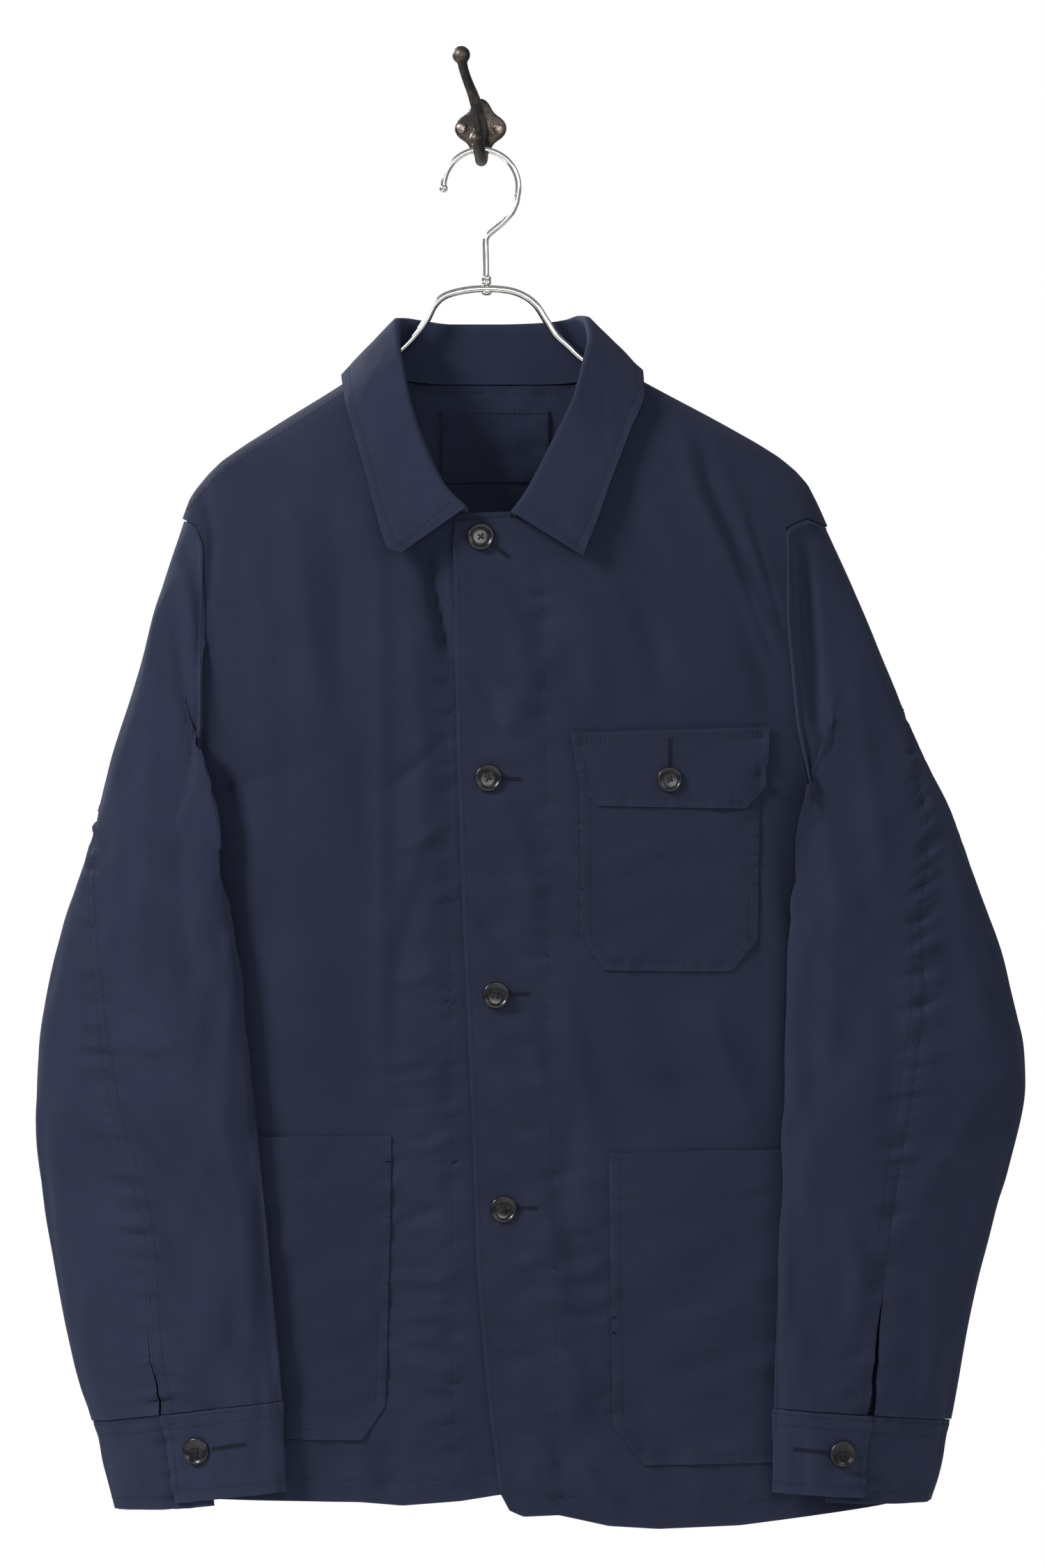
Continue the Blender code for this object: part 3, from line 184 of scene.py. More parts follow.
def new_group(name, inputs, outputs):
    """A shader node group with named inputs (kind, name, value) and outputs (kind, name)."""
    tree = bpy.data.node_groups.new(name, "ShaderNodeTree")
    for kind, label, value in inputs:
        socket = tree.interface.new_socket(label, in_out="INPUT", socket_type="NodeSocket" + kind)
        if value is not None:
            socket.default_value = value
    for kind, label in outputs:
        tree.interface.new_socket(label, in_out="OUTPUT", socket_type="NodeSocket" + kind)
    return tree, tree.nodes.new("NodeGroupInput"), tree.nodes.new("NodeGroupOutput")


# Patchy rubbing of a finish: large soft patches broken up by a fine grain.
rubbing, given, result = new_group(
    "patchy_rubbing",
    [("Vector", "Vector", None), ("Float", "Patch Scale", 60.0), ("Float", "Grain Scale", 900.0)],
    [("Float", "Rubbed"), ("Float", "Grain")],
)
patches = node(rubbing, "ShaderNodeTexNoise", Vector=given.outputs["Vector"],
               Scale=given.outputs["Patch Scale"], Detail=4.0)
grain = node(rubbing, "ShaderNodeTexNoise", Vector=given.outputs["Vector"],
             Scale=given.outputs["Grain Scale"], Detail=2.0)
mixed = node(rubbing, "ShaderNodeMath", {"operation": "MULTIPLY_ADD"},
             i0=grain.outputs["Fac"], i1=0.35, i2=patches.outputs["Fac"])
spread = node(rubbing, "ShaderNodeMapRange", Value=mixed.outputs[0], From_Min=0.6, From_Max=0.86)
rubbing.links.new(spread.outputs["Result"], result.inputs["Rubbed"])
rubbing.links.new(grain.outputs["Fac"], result.inputs["Grain"])


def rubbed_metal(name, dark, bright, roughness, patch_scale, grain_scale, depth, metallic=1.0):
    """A metal that goes from a dark to a bright colour where it is rubbed, with a fine grain."""
    made, tree, shader = new_material(name, roughness, metallic)
    where = tree.nodes.new("ShaderNodeTexCoord")
    rubbed = node(tree, "ShaderNodeGroup", {"node_tree": rubbing}, Vector=where.outputs["Object"],
                  Patch_Scale=patch_scale, Grain_Scale=grain_scale)
    colour = node(tree, "ShaderNodeMix", {"data_type": "RGBA"}, i0=rubbed.outputs["Rubbed"],
                  i6=(*dark, 1), i7=(*bright, 1))
    tree.links.new(colour.outputs[2], shader.inputs["Base Color"])
    rough = node(tree, "ShaderNodeMapRange", Value=rubbed.outputs["Grain"], From_Min=0.3,
                 From_Max=0.7, To_Min=roughness * 1.25, To_Max=roughness * 0.75)
    tree.links.new(rough.outputs["Result"], shader.inputs["Roughness"])
    bump = node(tree, "ShaderNodeBump", Strength=0.5, Distance=depth,
                Height=rubbed.outputs["Grain"])
    tree.links.new(bump.outputs["Normal"], shader.inputs["Normal"])
    return made


CAST_IRON = rubbed_metal("cast_iron", (0.028, 0.026, 0.026), (0.13, 0.105, 0.085), 0.46, 70, 1300,
                         0.0003, 0.85)

PLATE_THICK = 4.0
PLATE_HALF_WIDTH = 17.0
PLATE_HALF_HEIGHT = 19.5
LOBE_DEPTH = 0.13
UPPER_ARM = ((0.6, 3, 5, 4.6), (0.2, 10, -1, 4.5), (-1.4, 19, -9, 4.2), (-4.5, 28, -19, 3.8),
             (-8.2, 34.5, -28, 3.3), (-10.8, 38, -35.5, 3.1), (-12, 40, -41.5, 3.3))  # fmt: skip
LOWER_PRONG = ((0.6, 3, 9, 4.6), (0.8, 11, 14.5, 4.5), (0.8, 20, 20.0, 4.3), (0.6, 27, 22.5, 4.2),
               (0.5, 33, 22.3, 4.1), (-0.3, 39, 18.6, 4.0), (-1.4, 42, 13.4, 4.0))  # fmt: skip
BALL = (-12.4, 40.5, -44.8, 5.9)
KNOB = (-2.0, 43, 9.8, 5.2)


def plate_rings():
    """The plate's outline from its back edge over a rounded rim to a slightly domed face."""
    turn = np.linspace(0, 2 * np.pi, 120, endpoint=False)
    lobes = 1 - LOBE_DEPTH + LOBE_DEPTH * np.cos(4 * turn)
    rings = []
    for share, depth in ((1.0, 0.0), (1.0, 1.6), (0.97, 3.0), (0.92, 3.7), (0.80, 3.9), (0.5, 4.3)):
        x = PLATE_HALF_WIDTH * np.cos(turn) * lobes * share
        z = PLATE_HALF_HEIGHT * np.sin(turn) * lobes * share
        rings.append(np.stack([x, np.full_like(x, -depth), z], -1))
    return rings


def arm_rings(path, count=40, sides=28):
    """Rings round a tapering bar; each path point is x, depth, drop and radius."""
    path = np.asarray(path, float)
    centre = smoothed(np.stack([path[:, 0], -path[:, 1], -path[:, 2]], -1), count)
    radius = np.interp(np.linspace(0, 1, count), np.linspace(0, 1, len(path)), path[:, 3])
    heading = unit_rows(np.gradient(centre, axis=0))
    aside = unit_rows(np.cross(heading, (1, 0, 0)))
    level = np.cross(aside, heading)
    turn = np.arange(sides) * 2 * np.pi / sides
    return [
        centre[i] + radius[i] * (np.cos(turn)[:, None] * aside[i] + np.sin(turn)[:, None] * level[i])
        for i in range(count)
    ]


def skin(rings):
    """Points and faces over rings of equal length, closed at both ends."""
    sides = len(rings[0])
    faces = [tuple(reversed(range(sides)))]
    for k in range(len(rings) - 1):
        for i in range(sides):
            a, b = k * sides + i, k * sides + (i + 1) % sides
            faces.append((a, b, b + sides, a + sides))
    faces.append(tuple((len(rings) - 1) * sides + i for i in range(sides)))
    return np.concatenate(rings), faces


def ball_rings(values, count=14, sides=24):
    x, depth, drop, radius = values
    centre = np.array((x, -depth, -drop))
    turn = np.arange(sides) * 2 * np.pi / sides
    rings = []
    for tilt in np.linspace(0.12, np.pi - 0.12, count):
        spoke = np.stack([np.cos(turn) * np.sin(tilt), np.sin(turn) * np.sin(tilt),
                          np.full(sides, np.cos(tilt))], -1)
        rings.append(centre + radius * spoke)
    return rings


casting_points, casting_faces = [], []
for rings in (plate_rings(), arm_rings(UPPER_ARM), arm_rings(LOWER_PRONG), ball_rings(BALL),
              ball_rings(KNOB)):
    points, faces = skin(rings)
    start = len(casting_points)
    casting_points += list(points)
    casting_faces += [tuple(start + i for i in face) for face in faces]
casting = add_piece("wall_hook_casting", casting_points, casting_faces, CAST_IRON, "cast_iron")
poured = casting.modifiers.new("poured_as_one", "REMESH")
poured.mode = "VOXEL"
poured.voxel_size = 0.00062
softened = casting.modifiers.new("softened", "SMOOTH")
softened.factor = 0.6
softened.iterations = 5
settled(casting)
casting.data.shade_smooth()
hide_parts("wall_hook")

# -------------------------------------------------------------------- the hook's screws
# Two bronzed round-head screws with cross slots hold the plate to the wall, one in each side
# lobe. The heads are turned and the slots are pressed in.

BRONZED = rubbed_metal("bronzed_screw", (0.20, 0.15, 0.13), (0.46, 0.38, 0.33), 0.36, 300, 3000,
                       0.00008, 0.9)


def turned_rings(profile, sides, centre, axis):
    """Rings turned about an axis through the centre from (radius, height) pairs."""
    axis = unit(np.asarray(axis, float))
    aside = unit(np.cross(axis, (0.3, 0.1, 0.9)))
    level = np.cross(axis, aside)
    turn = np.arange(sides) * 2 * np.pi / sides
    spoke = np.cos(turn)[:, None] * aside + np.sin(turn)[:, None] * level
    return [np.asarray(centre) + radius * spoke + height * axis for radius, height in profile]


SCREW_HEAD = ((3.3, 0), (3.35, 0.25), (3.2, 0.7), (2.75, 1.15), (2.0, 1.5), (1.0, 1.68), (0.15, 1.7))
SLOT_LONG = 1.9
SLOT_WIDE = 0.42
SLOT_DEEP = 1.0
for side, (screw_x, screw_drop) in {"right": (-12.1, 0.0), "left": (11.5, 0.4)}.items():
    seat = np.array((screw_x, -PLATE_THICK - 0.1, -screw_drop))
    screw = add_piece("screw_" + side, *skin(turned_rings(SCREW_HEAD, 40, seat, (0, -1, 0))),
                      BRONZED, "bronzed_screw")
    cross = bmesh.new()
    for turn in (0.5, 0.5 + math.pi / 2):
        half_long = np.array((math.cos(turn), 0, math.sin(turn))) * SLOT_LONG
        half_wide = np.array((-math.sin(turn), 0, math.cos(turn))) * SLOT_WIDE
        top = seat + (0, -2.6, 0)
        bottom = seat + (0, -1.7 + SLOT_DEEP, 0)
        corners_of_slot = []
        for level in (bottom, top):
            for a, b in ((-1, -1), (1, -1), (1, 1), (-1, 1)):
                corners_of_slot.append(cross.verts.new((level + a * half_long + b * half_wide) * METRES))
        for face in ((3, 2, 1, 0), (4, 5, 6, 7), (0, 1, 5, 4), (1, 2, 6, 5), (2, 3, 7, 6), (3, 0, 4, 7)):
            cross.faces.new([corners_of_slot[i] for i in face])
        bmesh.ops.recalc_face_normals(cross, faces=cross.faces)
        cutter_mesh = bpy.data.meshes.new("slot")
        cross.to_mesh(cutter_mesh)
        cross.clear()
        cutter = bpy.data.objects.new("slot", cutter_mesh)
        bpy.context.scene.collection.objects.link(cutter)
        cut = screw.modifiers.new("slot", "BOOLEAN")
        cut.object = cutter
        cut.solver = "EXACT"
        settled(screw)
        bpy.data.objects.remove(cutter)
    cross.free()
    screw.data.set_sharp_from_angle(angle=math.radians(35))
    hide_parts("hook_screw_" + side)

# ------------------------------------------------------------------------------ the hanger
# One bent steel wire under the shoulders that rises through the neck to a short level bar,
# and a swivel hook with a ball end, held in the bar by a collar nut and a rivet, all polished.

POLISHED = rubbed_metal("polished_steel", (0.62, 0.61, 0.59), (0.80, 0.79, 0.77), 0.14, 160, 2600,
                        0.00003)
HANGER_DEPTH = 30.0
HANGER_WIRE = 2.35
HOOK_WIRE = 1.95
UNDER_SHOULDER = 5.7


def table(columns, rows):
    """A dictionary of arrays, one for each named column."""
    return {name: np.array([row[i] for row in rows], float) for i, name in enumerate(columns)}


def through(at, knots, values):
    """A smooth monotone curve through the values at the knots, level beyond its ends."""
    knots = np.asarray(knots, float)
    values = np.asarray(values, float)
    at = np.clip(at, knots[0], knots[-1])
    step = np.diff(knots)
    slope = np.diff(values) / step
    tangent = np.zeros(len(knots))
    tangent[0] = slope[0]
    tangent[-1] = slope[-1]
    rising = slope[:-1] * slope[1:] > 0
    total = np.where(rising, slope[:-1] + slope[1:], 1.0)
    tangent[1:-1] = np.where(rising, 2 * slope[:-1] * slope[1:] / total, 0.0)
    i = np.clip(np.searchsorted(knots, at, side="right") - 1, 0, len(step) - 1)
    t = (at - knots[i]) / step[i]
    rise = step[i] * t * (1 - t) * ((1 - t) * tangent[i] - t * tangent[i + 1])
    return values[i] + (values[i + 1] - values[i]) * t * t * (3 - 2 * t) + rise


# The ridge that the hanger holds up: the shoulder seams, level across the neck hole.
RIDGE = table(
    ("x", "drop"),
    (
        (-196, 262), (-189, 243), (-181, 232), (-171, 221), (-137, 198), (-89, 168), (-66, 152),
        (-52, 144), (10, 140), (68, 145), (80, 152), (108, 168), (162, 197), (194, 216),
        (205, 225), (213, 234), (222, 252), (228, 266),
    ),
)  # fmt: skip


def ridge_drop(x):
    return through(x, RIDGE["x"], RIDGE["drop"])


HANGER_SHOWN_RIGHT = ((-63, 156), (-53, 147.2), (-44, 138.5), (-35.5, 128), (-30, 117.5),
                      (-23, 111.2), (-10, 107.6))
HANGER_SHOWN_LEFT = ((18, 107.6), (28, 111), (36, 117), (42, 126), (48.5, 136), (57, 143.8), (67, 152.6))
HOOK_CENTRE = (0.4, 40.4)
HOOK_RING = 24.4
HOOK_LEAD = ((23.6, 50), (20.4, 57), (14, 64), (7, 69.8), (4, 73), (3.4, 77), (3.6, 86), (3.8, 98.1))
right_x = np.linspace(-174, -72, 10)
left_x = np.linspace(80, 201, 11)
wire_line = np.concatenate([
    np.stack([right_x, ridge_drop(right_x) + UNDER_SHOULDER], -1),
    HANGER_SHOWN_RIGHT, ((4, 106.6),), HANGER_SHOWN_LEFT,
    np.stack([left_x, ridge_drop(left_x) + UNDER_SHOULDER], -1),
])
hook_turn = np.radians(np.linspace(180, -14, 60))
hook_ring = np.stack([HOOK_CENTRE[0] + HOOK_RING * np.cos(hook_turn),
                      HOOK_CENTRE[1] - HOOK_RING * np.sin(hook_turn)], -1)
hook_line = np.concatenate([hook_ring, smoothed(HOOK_LEAD, 40)])


def wire_rings(line, radius, count, sides=20):
    """Rings round a wire that runs through x and drop, its ends rounded off."""
    line = smoothed(line, count) if count else line
    centre = np.stack([line[:, 0], np.full(len(line), -HANGER_DEPTH), -line[:, 1]], -1)
    heading = unit_rows(np.gradient(centre, axis=0))
    level = np.array((0.0, -1.0, 0.0))
    aside = unit_rows(np.cross(heading, level))
    turn = np.arange(sides) * 2 * np.pi / sides
    rings = []
    ends = ((0.35, -0.95), (0.75, -0.66), (0.95, -0.3))
    for size, back in ends:
        rings.append(centre[0] + radius * back * heading[0]
                     + radius * size * (np.cos(turn)[:, None] * aside[0] + np.sin(turn)[:, None] * level))
    for i in range(len(centre)):
        rings.append(centre[i] + radius * (np.cos(turn)[:, None] * aside[i] + np.sin(turn)[:, None] * level))
    for size, back in reversed(ends):
        rings.append(centre[-1] - radius * back * heading[-1]
                     + radius * size * (np.cos(turn)[:, None] * aside[-1] + np.sin(turn)[:, None] * level))
    return rings


wire = add_piece("hanger_bent_wire", *skin(wire_rings(wire_line, HANGER_WIRE, 150)), POLISHED,
                 "polished_steel")
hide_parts("hanger_wire")
swivel = add_piece("hanger_swivel_hook", *skin(wire_rings(hook_line, HOOK_WIRE, 0)), POLISHED,
                   "polished_steel")
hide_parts("hanger_hook")
END_BALL = (HOOK_CENTRE[0] - HOOK_RING, HANGER_DEPTH, HOOK_CENTRE[1] + 0.8, 2.75)
add_piece("hanger_hook_ball", *skin(ball_rings(END_BALL, 16, 24)), POLISHED, "polished_steel")
NUT = ((1.9, -0.2), (2.6, 0), (3.0, 0.35), (3.1, 0.8), (3.1, 2.2), (2.85, 2.5), (3.1, 2.8),
       (3.1, 4.7), (2.9, 5.2), (2.4, 5.5), (1.9, 5.6))
nut = add_piece("hanger_collar_nut", *skin(turned_rings(NUT, 32, (3.9, -HANGER_DEPTH, -104.0), (0, 0, 1))),
                POLISHED, "polished_steel")
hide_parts("hanger_nut")
RIVET = ((3.3, 0), (3.25, 0.4), (2.9, 0.95), (2.1, 1.45), (1.1, 1.68), (0.2, 1.7))
rivet = add_piece("hanger_rivet_head",
                  *skin(turned_rings(RIVET, 28, (4.0, -HANGER_DEPTH, -109.3), (0, 0, -1))),
                  POLISHED, "polished_steel")
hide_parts("hanger_rivet")

# -------------------------------------------------------------------------------- the back
# One panel of navy cotton twill from the shoulder seams and the neck down to the hem, cut with
# both armholes, hemmed below. It hangs nearest to the wall, nearly flat, with long soft folds.

CLOTH = 1.3
LAYER_STEP = 0.4
SEAM_GAP = 0.4


def in_cloth(tree, pitch):
    """The twill's height, its lines of weave and patches of dye, from the piece's own cut."""
    cut = node(tree, "ShaderNodeUVMap", {"uv_map": "cut"})
    worn = node(tree, "ShaderNodeAttribute", {"attribute_name": "worn"})
    woven = node(tree, "ShaderNodeGroup", {"node_tree": twill_weave}, Vector=cut.outputs["UV"],
                 Pitch=pitch)
    dyed = node(tree, "ShaderNodeGroup", {"node_tree": washed_dye}, Vector=cut.outputs["UV"],
                Worn=worn.outputs["Fac"])
    return woven, dyed


# Twill: diagonal ridges of warp, each broken up by the weft that crosses it.
twill_weave, given, result = new_group(
    "twill_weave", [("Vector", "Vector", None), ("Float", "Pitch", 0.0006)],
    [("Float", "Height"), ("Float", "Slub")],
)
apart = node(twill_weave, "ShaderNodeSeparateXYZ", Vector=given.outputs["Vector"])
turns = node(twill_weave, "ShaderNodeMath", {"operation": "DIVIDE"}, i0=2 * math.pi,
             i1=given.outputs["Pitch"])
diagonal = node(twill_weave, "ShaderNodeMath", {"operation": "ADD"}, i0=apart.outputs["X"],
                i1=apart.outputs["Y"])
steep = node(twill_weave, "ShaderNodeMath", {"operation": "MULTIPLY_ADD"}, i0=apart.outputs["Y"],
             i1=-1.9, i2=apart.outputs["X"])
waves = []
for source, share in ((diagonal, 1.0), (steep, 1.3)):
    phase = node(twill_weave, "ShaderNodeMath", {"operation": "MULTIPLY"}, i0=source.outputs[0],
                 i1=turns.outputs[0])
    phase = node(twill_weave, "ShaderNodeMath", {"operation": "MULTIPLY"}, i0=phase.outputs[0], i1=share)
    waves.append(node(twill_weave, "ShaderNodeMath", {"operation": "SINE"}, i0=phase.outputs[0]))
crossing = node(twill_weave, "ShaderNodeMath", {"operation": "MULTIPLY_ADD"}, i0=waves[1].outputs[0],
                i1=0.4, i2=waves[0].outputs[0])
slub = node(twill_weave, "ShaderNodeTexNoise", Vector=given.outputs["Vector"], Scale=420.0, Detail=3.0)
uneven = node(twill_weave, "ShaderNodeMath", {"operation": "MULTIPLY_ADD"}, i0=slub.outputs["Fac"],
              i1=1.6, i2=crossing.outputs[0])
twill_weave.links.new(uneven.outputs[0], result.inputs["Height"])
twill_weave.links.new(slub.outputs["Fac"], result.inputs["Slub"])

# Garment dye after washing: cloudy over the panels, paler where seams and edges are rubbed.
washed_dye, given, result = new_group(
    "washed_dye", [("Vector", "Vector", None), ("Float", "Worn", 0.0)], [("Float", "Faded")],
)
clouds = node(washed_dye, "ShaderNodeTexNoise", Vector=given.outputs["Vector"], Scale=14.0, Detail=5.0,
              Roughness=0.6)
specks = node(washed_dye, "ShaderNodeTexNoise", Vector=given.outputs["Vector"], Scale=260.0, Detail=3.0)
rubbed_edge = node(washed_dye, "ShaderNodeMath", {"operation": "MULTIPLY"}, i0=given.outputs["Worn"],
                   i1=specks.outputs["Fac"])
faded = node(washed_dye, "ShaderNodeMath", {"operation": "MULTIPLY_ADD"}, i0=clouds.outputs["Fac"],
             i1=0.55, i2=rubbed_edge.outputs[0])
washed_dye.links.new(faded.outputs[0], result.inputs["Faded"])


def navy_cloth(name, deep, pale, pitch, bump_depth):
    """Garment-dyed navy cotton: matt, its colour broken up by wear and by the weave."""
    made, tree, shader = new_material(name, 0.78, 0.0, 0.13)
    shader.inputs["Sheen Weight"].default_value = 0.05
    shader.inputs["Sheen Roughness"].default_value = 0.45
    shader.inputs["Sheen Tint"].default_value = (0.72, 0.78, 1.0, 1)
    woven, dyed = in_cloth(tree, pitch)
    shade = node(tree, "ShaderNodeMath", {"operation": "MULTIPLY_ADD"}, i0=woven.outputs["Slub"],
                 i1=0.35, i2=dyed.outputs["Faded"])
    share = node(tree, "ShaderNodeMapRange", Value=shade.outputs[0], From_Min=0.25, From_Max=1.15)
    colour = node(tree, "ShaderNodeMix", {"data_type": "RGBA"}, i0=share.outputs["Result"],
                  i6=(*deep, 1), i7=(*pale, 1))
    tree.links.new(colour.outputs[2], shader.inputs["Base Color"])
    rough = node(tree, "ShaderNodeMapRange", Value=woven.outputs["Slub"], From_Min=0.3, From_Max=0.7,
                 To_Min=0.72, To_Max=0.86)
    tree.links.new(rough.outputs["Result"], shader.inputs["Roughness"])
    bump = node(tree, "ShaderNodeBump", Strength=0.55, Distance=bump_depth, Height=woven.outputs["Height"])
    tree.links.new(bump.outputs["Normal"], shader.inputs["Normal"])
    return made


NAVY_TWILL = navy_cloth("navy_twill", (0.0113, 0.0146, 0.0335), (0.0255, 0.0325, 0.062), 0.0007, 0.00008)


def along(points, share):
    """Points at the given shares of a corner-to-corner line's length."""
    points = np.asarray(points, float)
    run = np.r_[0, np.cumsum(np.linalg.norm(np.diff(points, axis=0), axis=1))]
    return np.stack([np.interp(np.asarray(share) * run[-1], run, c) for c in points.T], -1)


def nearest_on(x, drop, path):
    """Distance to a corner-to-corner line, the run along it to there, and its whole length."""
    path = np.asarray(path, float)
    run = np.r_[0, np.cumsum(np.linalg.norm(np.diff(path, axis=0), axis=1))]
    away = np.full(np.shape(x), np.inf)
    reached = np.zeros(np.shape(x))
    for (x0, d0), (x1, d1), start, end in zip(path, path[1:], run, run[1:]):
        length = end - start
        t = np.clip(((x - x0) * (x1 - x0) + (drop - d0) * (d1 - d0)) / length**2, 0, 1)
        here = np.hypot(x - x0 - t * (x1 - x0), drop - d0 - t * (d1 - d0))
        reached = np.where(here < away, start + t * length, reached)
        away = np.minimum(away, here)
    return away, reached, run[-1]


def relief(x, drop, folds):
    """Height of the soft ridges (+) and troughs (-) at each point, from a table of folds."""
    total = np.zeros(np.shape(x))
    for path, width, height in folds:
        away, reached, length = nearest_on(x, drop, path)
        ends = np.sin(np.pi * np.clip(reached / length, 0.02, 0.98)) ** 0.5
        total = total + height * ends * np.exp(-((away / width) ** 2))
    return total


def noise(x, y, seed):
    """Smooth random heights from -1 to 1, one for each unit of x and y."""
    lattice = np.random.default_rng(seed).uniform(-1, 1, (61, 61))
    i, j = np.floor(x).astype(int), np.floor(y).astype(int)
    s, t = x - i, y - j
    s, t = s**3 * (s * (6 * s - 15) + 10), t**3 * (t * (6 * t - 15) + 10)
    low = lattice[i % 61, j % 61] * (1 - s) + lattice[(i + 1) % 61, j % 61] * s
    high = lattice[i % 61, (j + 1) % 61] * (1 - s) + lattice[(i + 1) % 61, (j + 1) % 61] * s
    return low * (1 - t) + high * t


def puckers(x, drop, seams):
    """Small ripples across seams: path, half width, height, spacing and seed of each."""
    total = np.zeros(np.shape(x))
    for path, width, height, spacing, seed in seams:
        away, reached, length = nearest_on(x, drop, path)
        ripple = 1.1 * noise(reached / spacing, away / (3 * width), seed)
        crossing = noise(reached / spacing * 0.8, away / (5 * width), seed + 50)
        tuck = np.exp(-((crossing / 0.16) ** 2))
        tuck = tuck * np.clip(noise(reached / 30, 0 * away, seed + 9) + 0.9, 0, 1.4)
        groove = 0.35 * height * np.exp(-((away / 1.6) ** 2))
        total = total + height * (ripple - 1.5 * tuck) * np.exp(-((away / width) ** 2)) - groove
    return total


DRAG_COLUMNS = ("x", "drop", "half_x", "half_drop", "lean", "length", "gap", "height")


def drags(x, drop, regions):
    """Drag wrinkles: uneven ridges that lean by some degrees, over soft-edged regions."""
    total = np.zeros(np.shape(x))
    for seed, row in enumerate(zip(*regions.values())):
        at_x, at_drop, half_x, half_drop, lean, length, gap, height = row
        c, s = math.cos(math.radians(lean)), math.sin(math.radians(lean))
        run, over = x * c + drop * s, drop * c - x * s
        bend = 0.35 * noise(run / length, over / (4 * gap), seed + 300)
        wrinkle = noise(run / length, over / gap + bend, seed + 100)
        where = np.exp(-(((x - at_x) / half_x) ** 4) - ((drop - at_drop) / half_drop) ** 4)
        total = total + 1.6 * height * wrinkle * where
    return total


RIDGE_DEPTH = 30.0


# Body sections from the shoulders down: where the side seams lie, and how far the front
# and the back stand out from the wall at the middle and at the side seam.
SECTIONS = table(
    ("drop", "right", "left", "side_depth", "front_depth", "back_depth"),
    (
        (150, -206, 236, 30, 76, 14),
        (300, -207, 238, 34, 82, 13),
        (460, -207, 242, 39, 85, 12),
        (700, -208, 258, 40, 87, 11),
        (910, -208, 268, 40, 88, 10),
    ),
)
BACK_POWER = 3.6
BACK_ROUND = 45.0
BACK_FOLDS = (
    (((-150, 260), (-110, 420), (-96, 640), (-92, 880)), 24, 4.0),
    (((170, 270), (130, 430), (118, 660), (116, 880)), 26, 4.0),
    (((-40, 210), (-8, 420), (6, 700), (8, 880)), 20, -3.0),
    (((-176, 300), (-140, 360), (-90, 400)), 10, 3.0),
    (((200, 300), (160, 365), (108, 405)), 10, 3.0),
)
BACK_CREASES = (
    (((-10, 300), (-24, 460), (-20, 640), (-30, 800)), 14, 2.2),
    (((60, 260), (66, 420), (58, 600), (70, 820)), 16, -2.4),
    (((-66, 420), (-60, 560), (-72, 700)), 10, 1.6),
    (((100, 500), (88, 640), (96, 760)), 11, 1.8),
    (((196, 470), (150, 500), (96, 508)), 8, -2.0),
    (((-170, 470), (-130, 505), (-80, 515)), 8, -2.0),
    (((206, 560), (170, 640), (150, 740)), 10, 1.8),
    (((-180, 560), (-150, 650), (-140, 760)), 10, 1.7),
    (((20, 190), (26, 260), (16, 330)), 9, 1.4),
)
BACK_DRAGS = table(DRAG_COLUMNS, (
    (10, 300, 180, 70, 8, 60, 22, 0.9),
    (-120, 760, 70, 110, 14, 45, 13, 0.8),
    (150, 760, 70, 110, -12, 45, 13, 0.8),
    (20, 560, 200, 300, 84, 170, 38, 1.6),
))
BACK_HEM_STITCH = ((-207, 878), (30, 878), (267, 878))
NECK_STITCH = ((-46, 173), (-10, 174), (28, 174), (60, 173))
BACK_STRENGTH = 1.6
BACK_SEAMS = ((BACK_HEM_STITCH, 7, 0.5, 11, 1), (NECK_STITCH, 6, 0.4, 8, 2))


def section(drop, column):
    return through(drop, SECTIONS["drop"], SECTIONS[column])


def across(x, drop, power):
    """1 at the middle of the body, falling to 0 at the side seams."""
    right = section(drop, "right")
    left = section(drop, "left")
    share = np.abs((x - (right + left) / 2) / ((left - right) / 2))
    return (1 - np.clip(share, 0, 1) ** power) ** (1 / power)


def turned_down(x, drop, height):
    """0 on the ridge, rising to 1 at `height` below it, as a quarter of an ellipse."""
    below = np.clip((drop - ridge_drop(x)) / height, 0, 1)
    return np.sqrt(1 - (1 - below) ** 2)


def back_depth(x, drop):
    """Depth of the back's outer face, which is nearer to the wall."""
    side = section(drop, "side_depth")
    middle = across(x, drop, BACK_POWER)
    full = side + (section(drop, "back_depth") - side) * middle
    turn = turned_down(x, drop, BACK_ROUND)
    fine = relief(x, drop, BACK_CREASES) + drags(x, drop, BACK_DRAGS) + puckers(x, drop, BACK_SEAMS)
    folds = relief(x, drop, BACK_FOLDS) + fine * BACK_STRENGTH
    return RIDGE_DEPTH - SEAM_GAP / 2 + (full - RIDGE_DEPTH) * turn + folds * turn * middle**0.5


def on_back(x, drop):
    return np.stack([x, -back_depth(x, drop), -drop], -1)


def panel_grid(top, bottom, inner, outer, u, v):
    """x and drop over a patch with four edges. u runs from inner to outer, v downwards."""
    t = along(top, u)[None, :, :]
    b = along(bottom, u)[None, :, :]
    i = along(inner, v)[:, None, :]
    o = along(outer, v)[:, None, :]
    u = np.asarray(u)[None, :, None]
    v = np.asarray(v)[:, None, None]
    corners = (1 - u) * (1 - v) * i[0] + u * (1 - v) * o[0]
    corners = corners + (1 - u) * v * i[-1] + u * v * o[-1]
    grid = (1 - u) * i + u * o + (1 - v) * t + v * b - corners
    x = np.clip(grid[..., 0], section(grid[..., 1], "right"), section(grid[..., 1], "left"))
    return x, np.maximum(grid[..., 1], ridge_drop(x))


def square_to(surface, u, v, u_step, v_step):
    """Unit vectors square to surface(u, v), read over short steps, all on one side of it."""
    du = surface(u + u_step, v) - surface(u - u_step, v)
    dv = surface(u, v + v_step) - surface(u, v - v_step)
    return unit_rows(np.cross(du, dv))


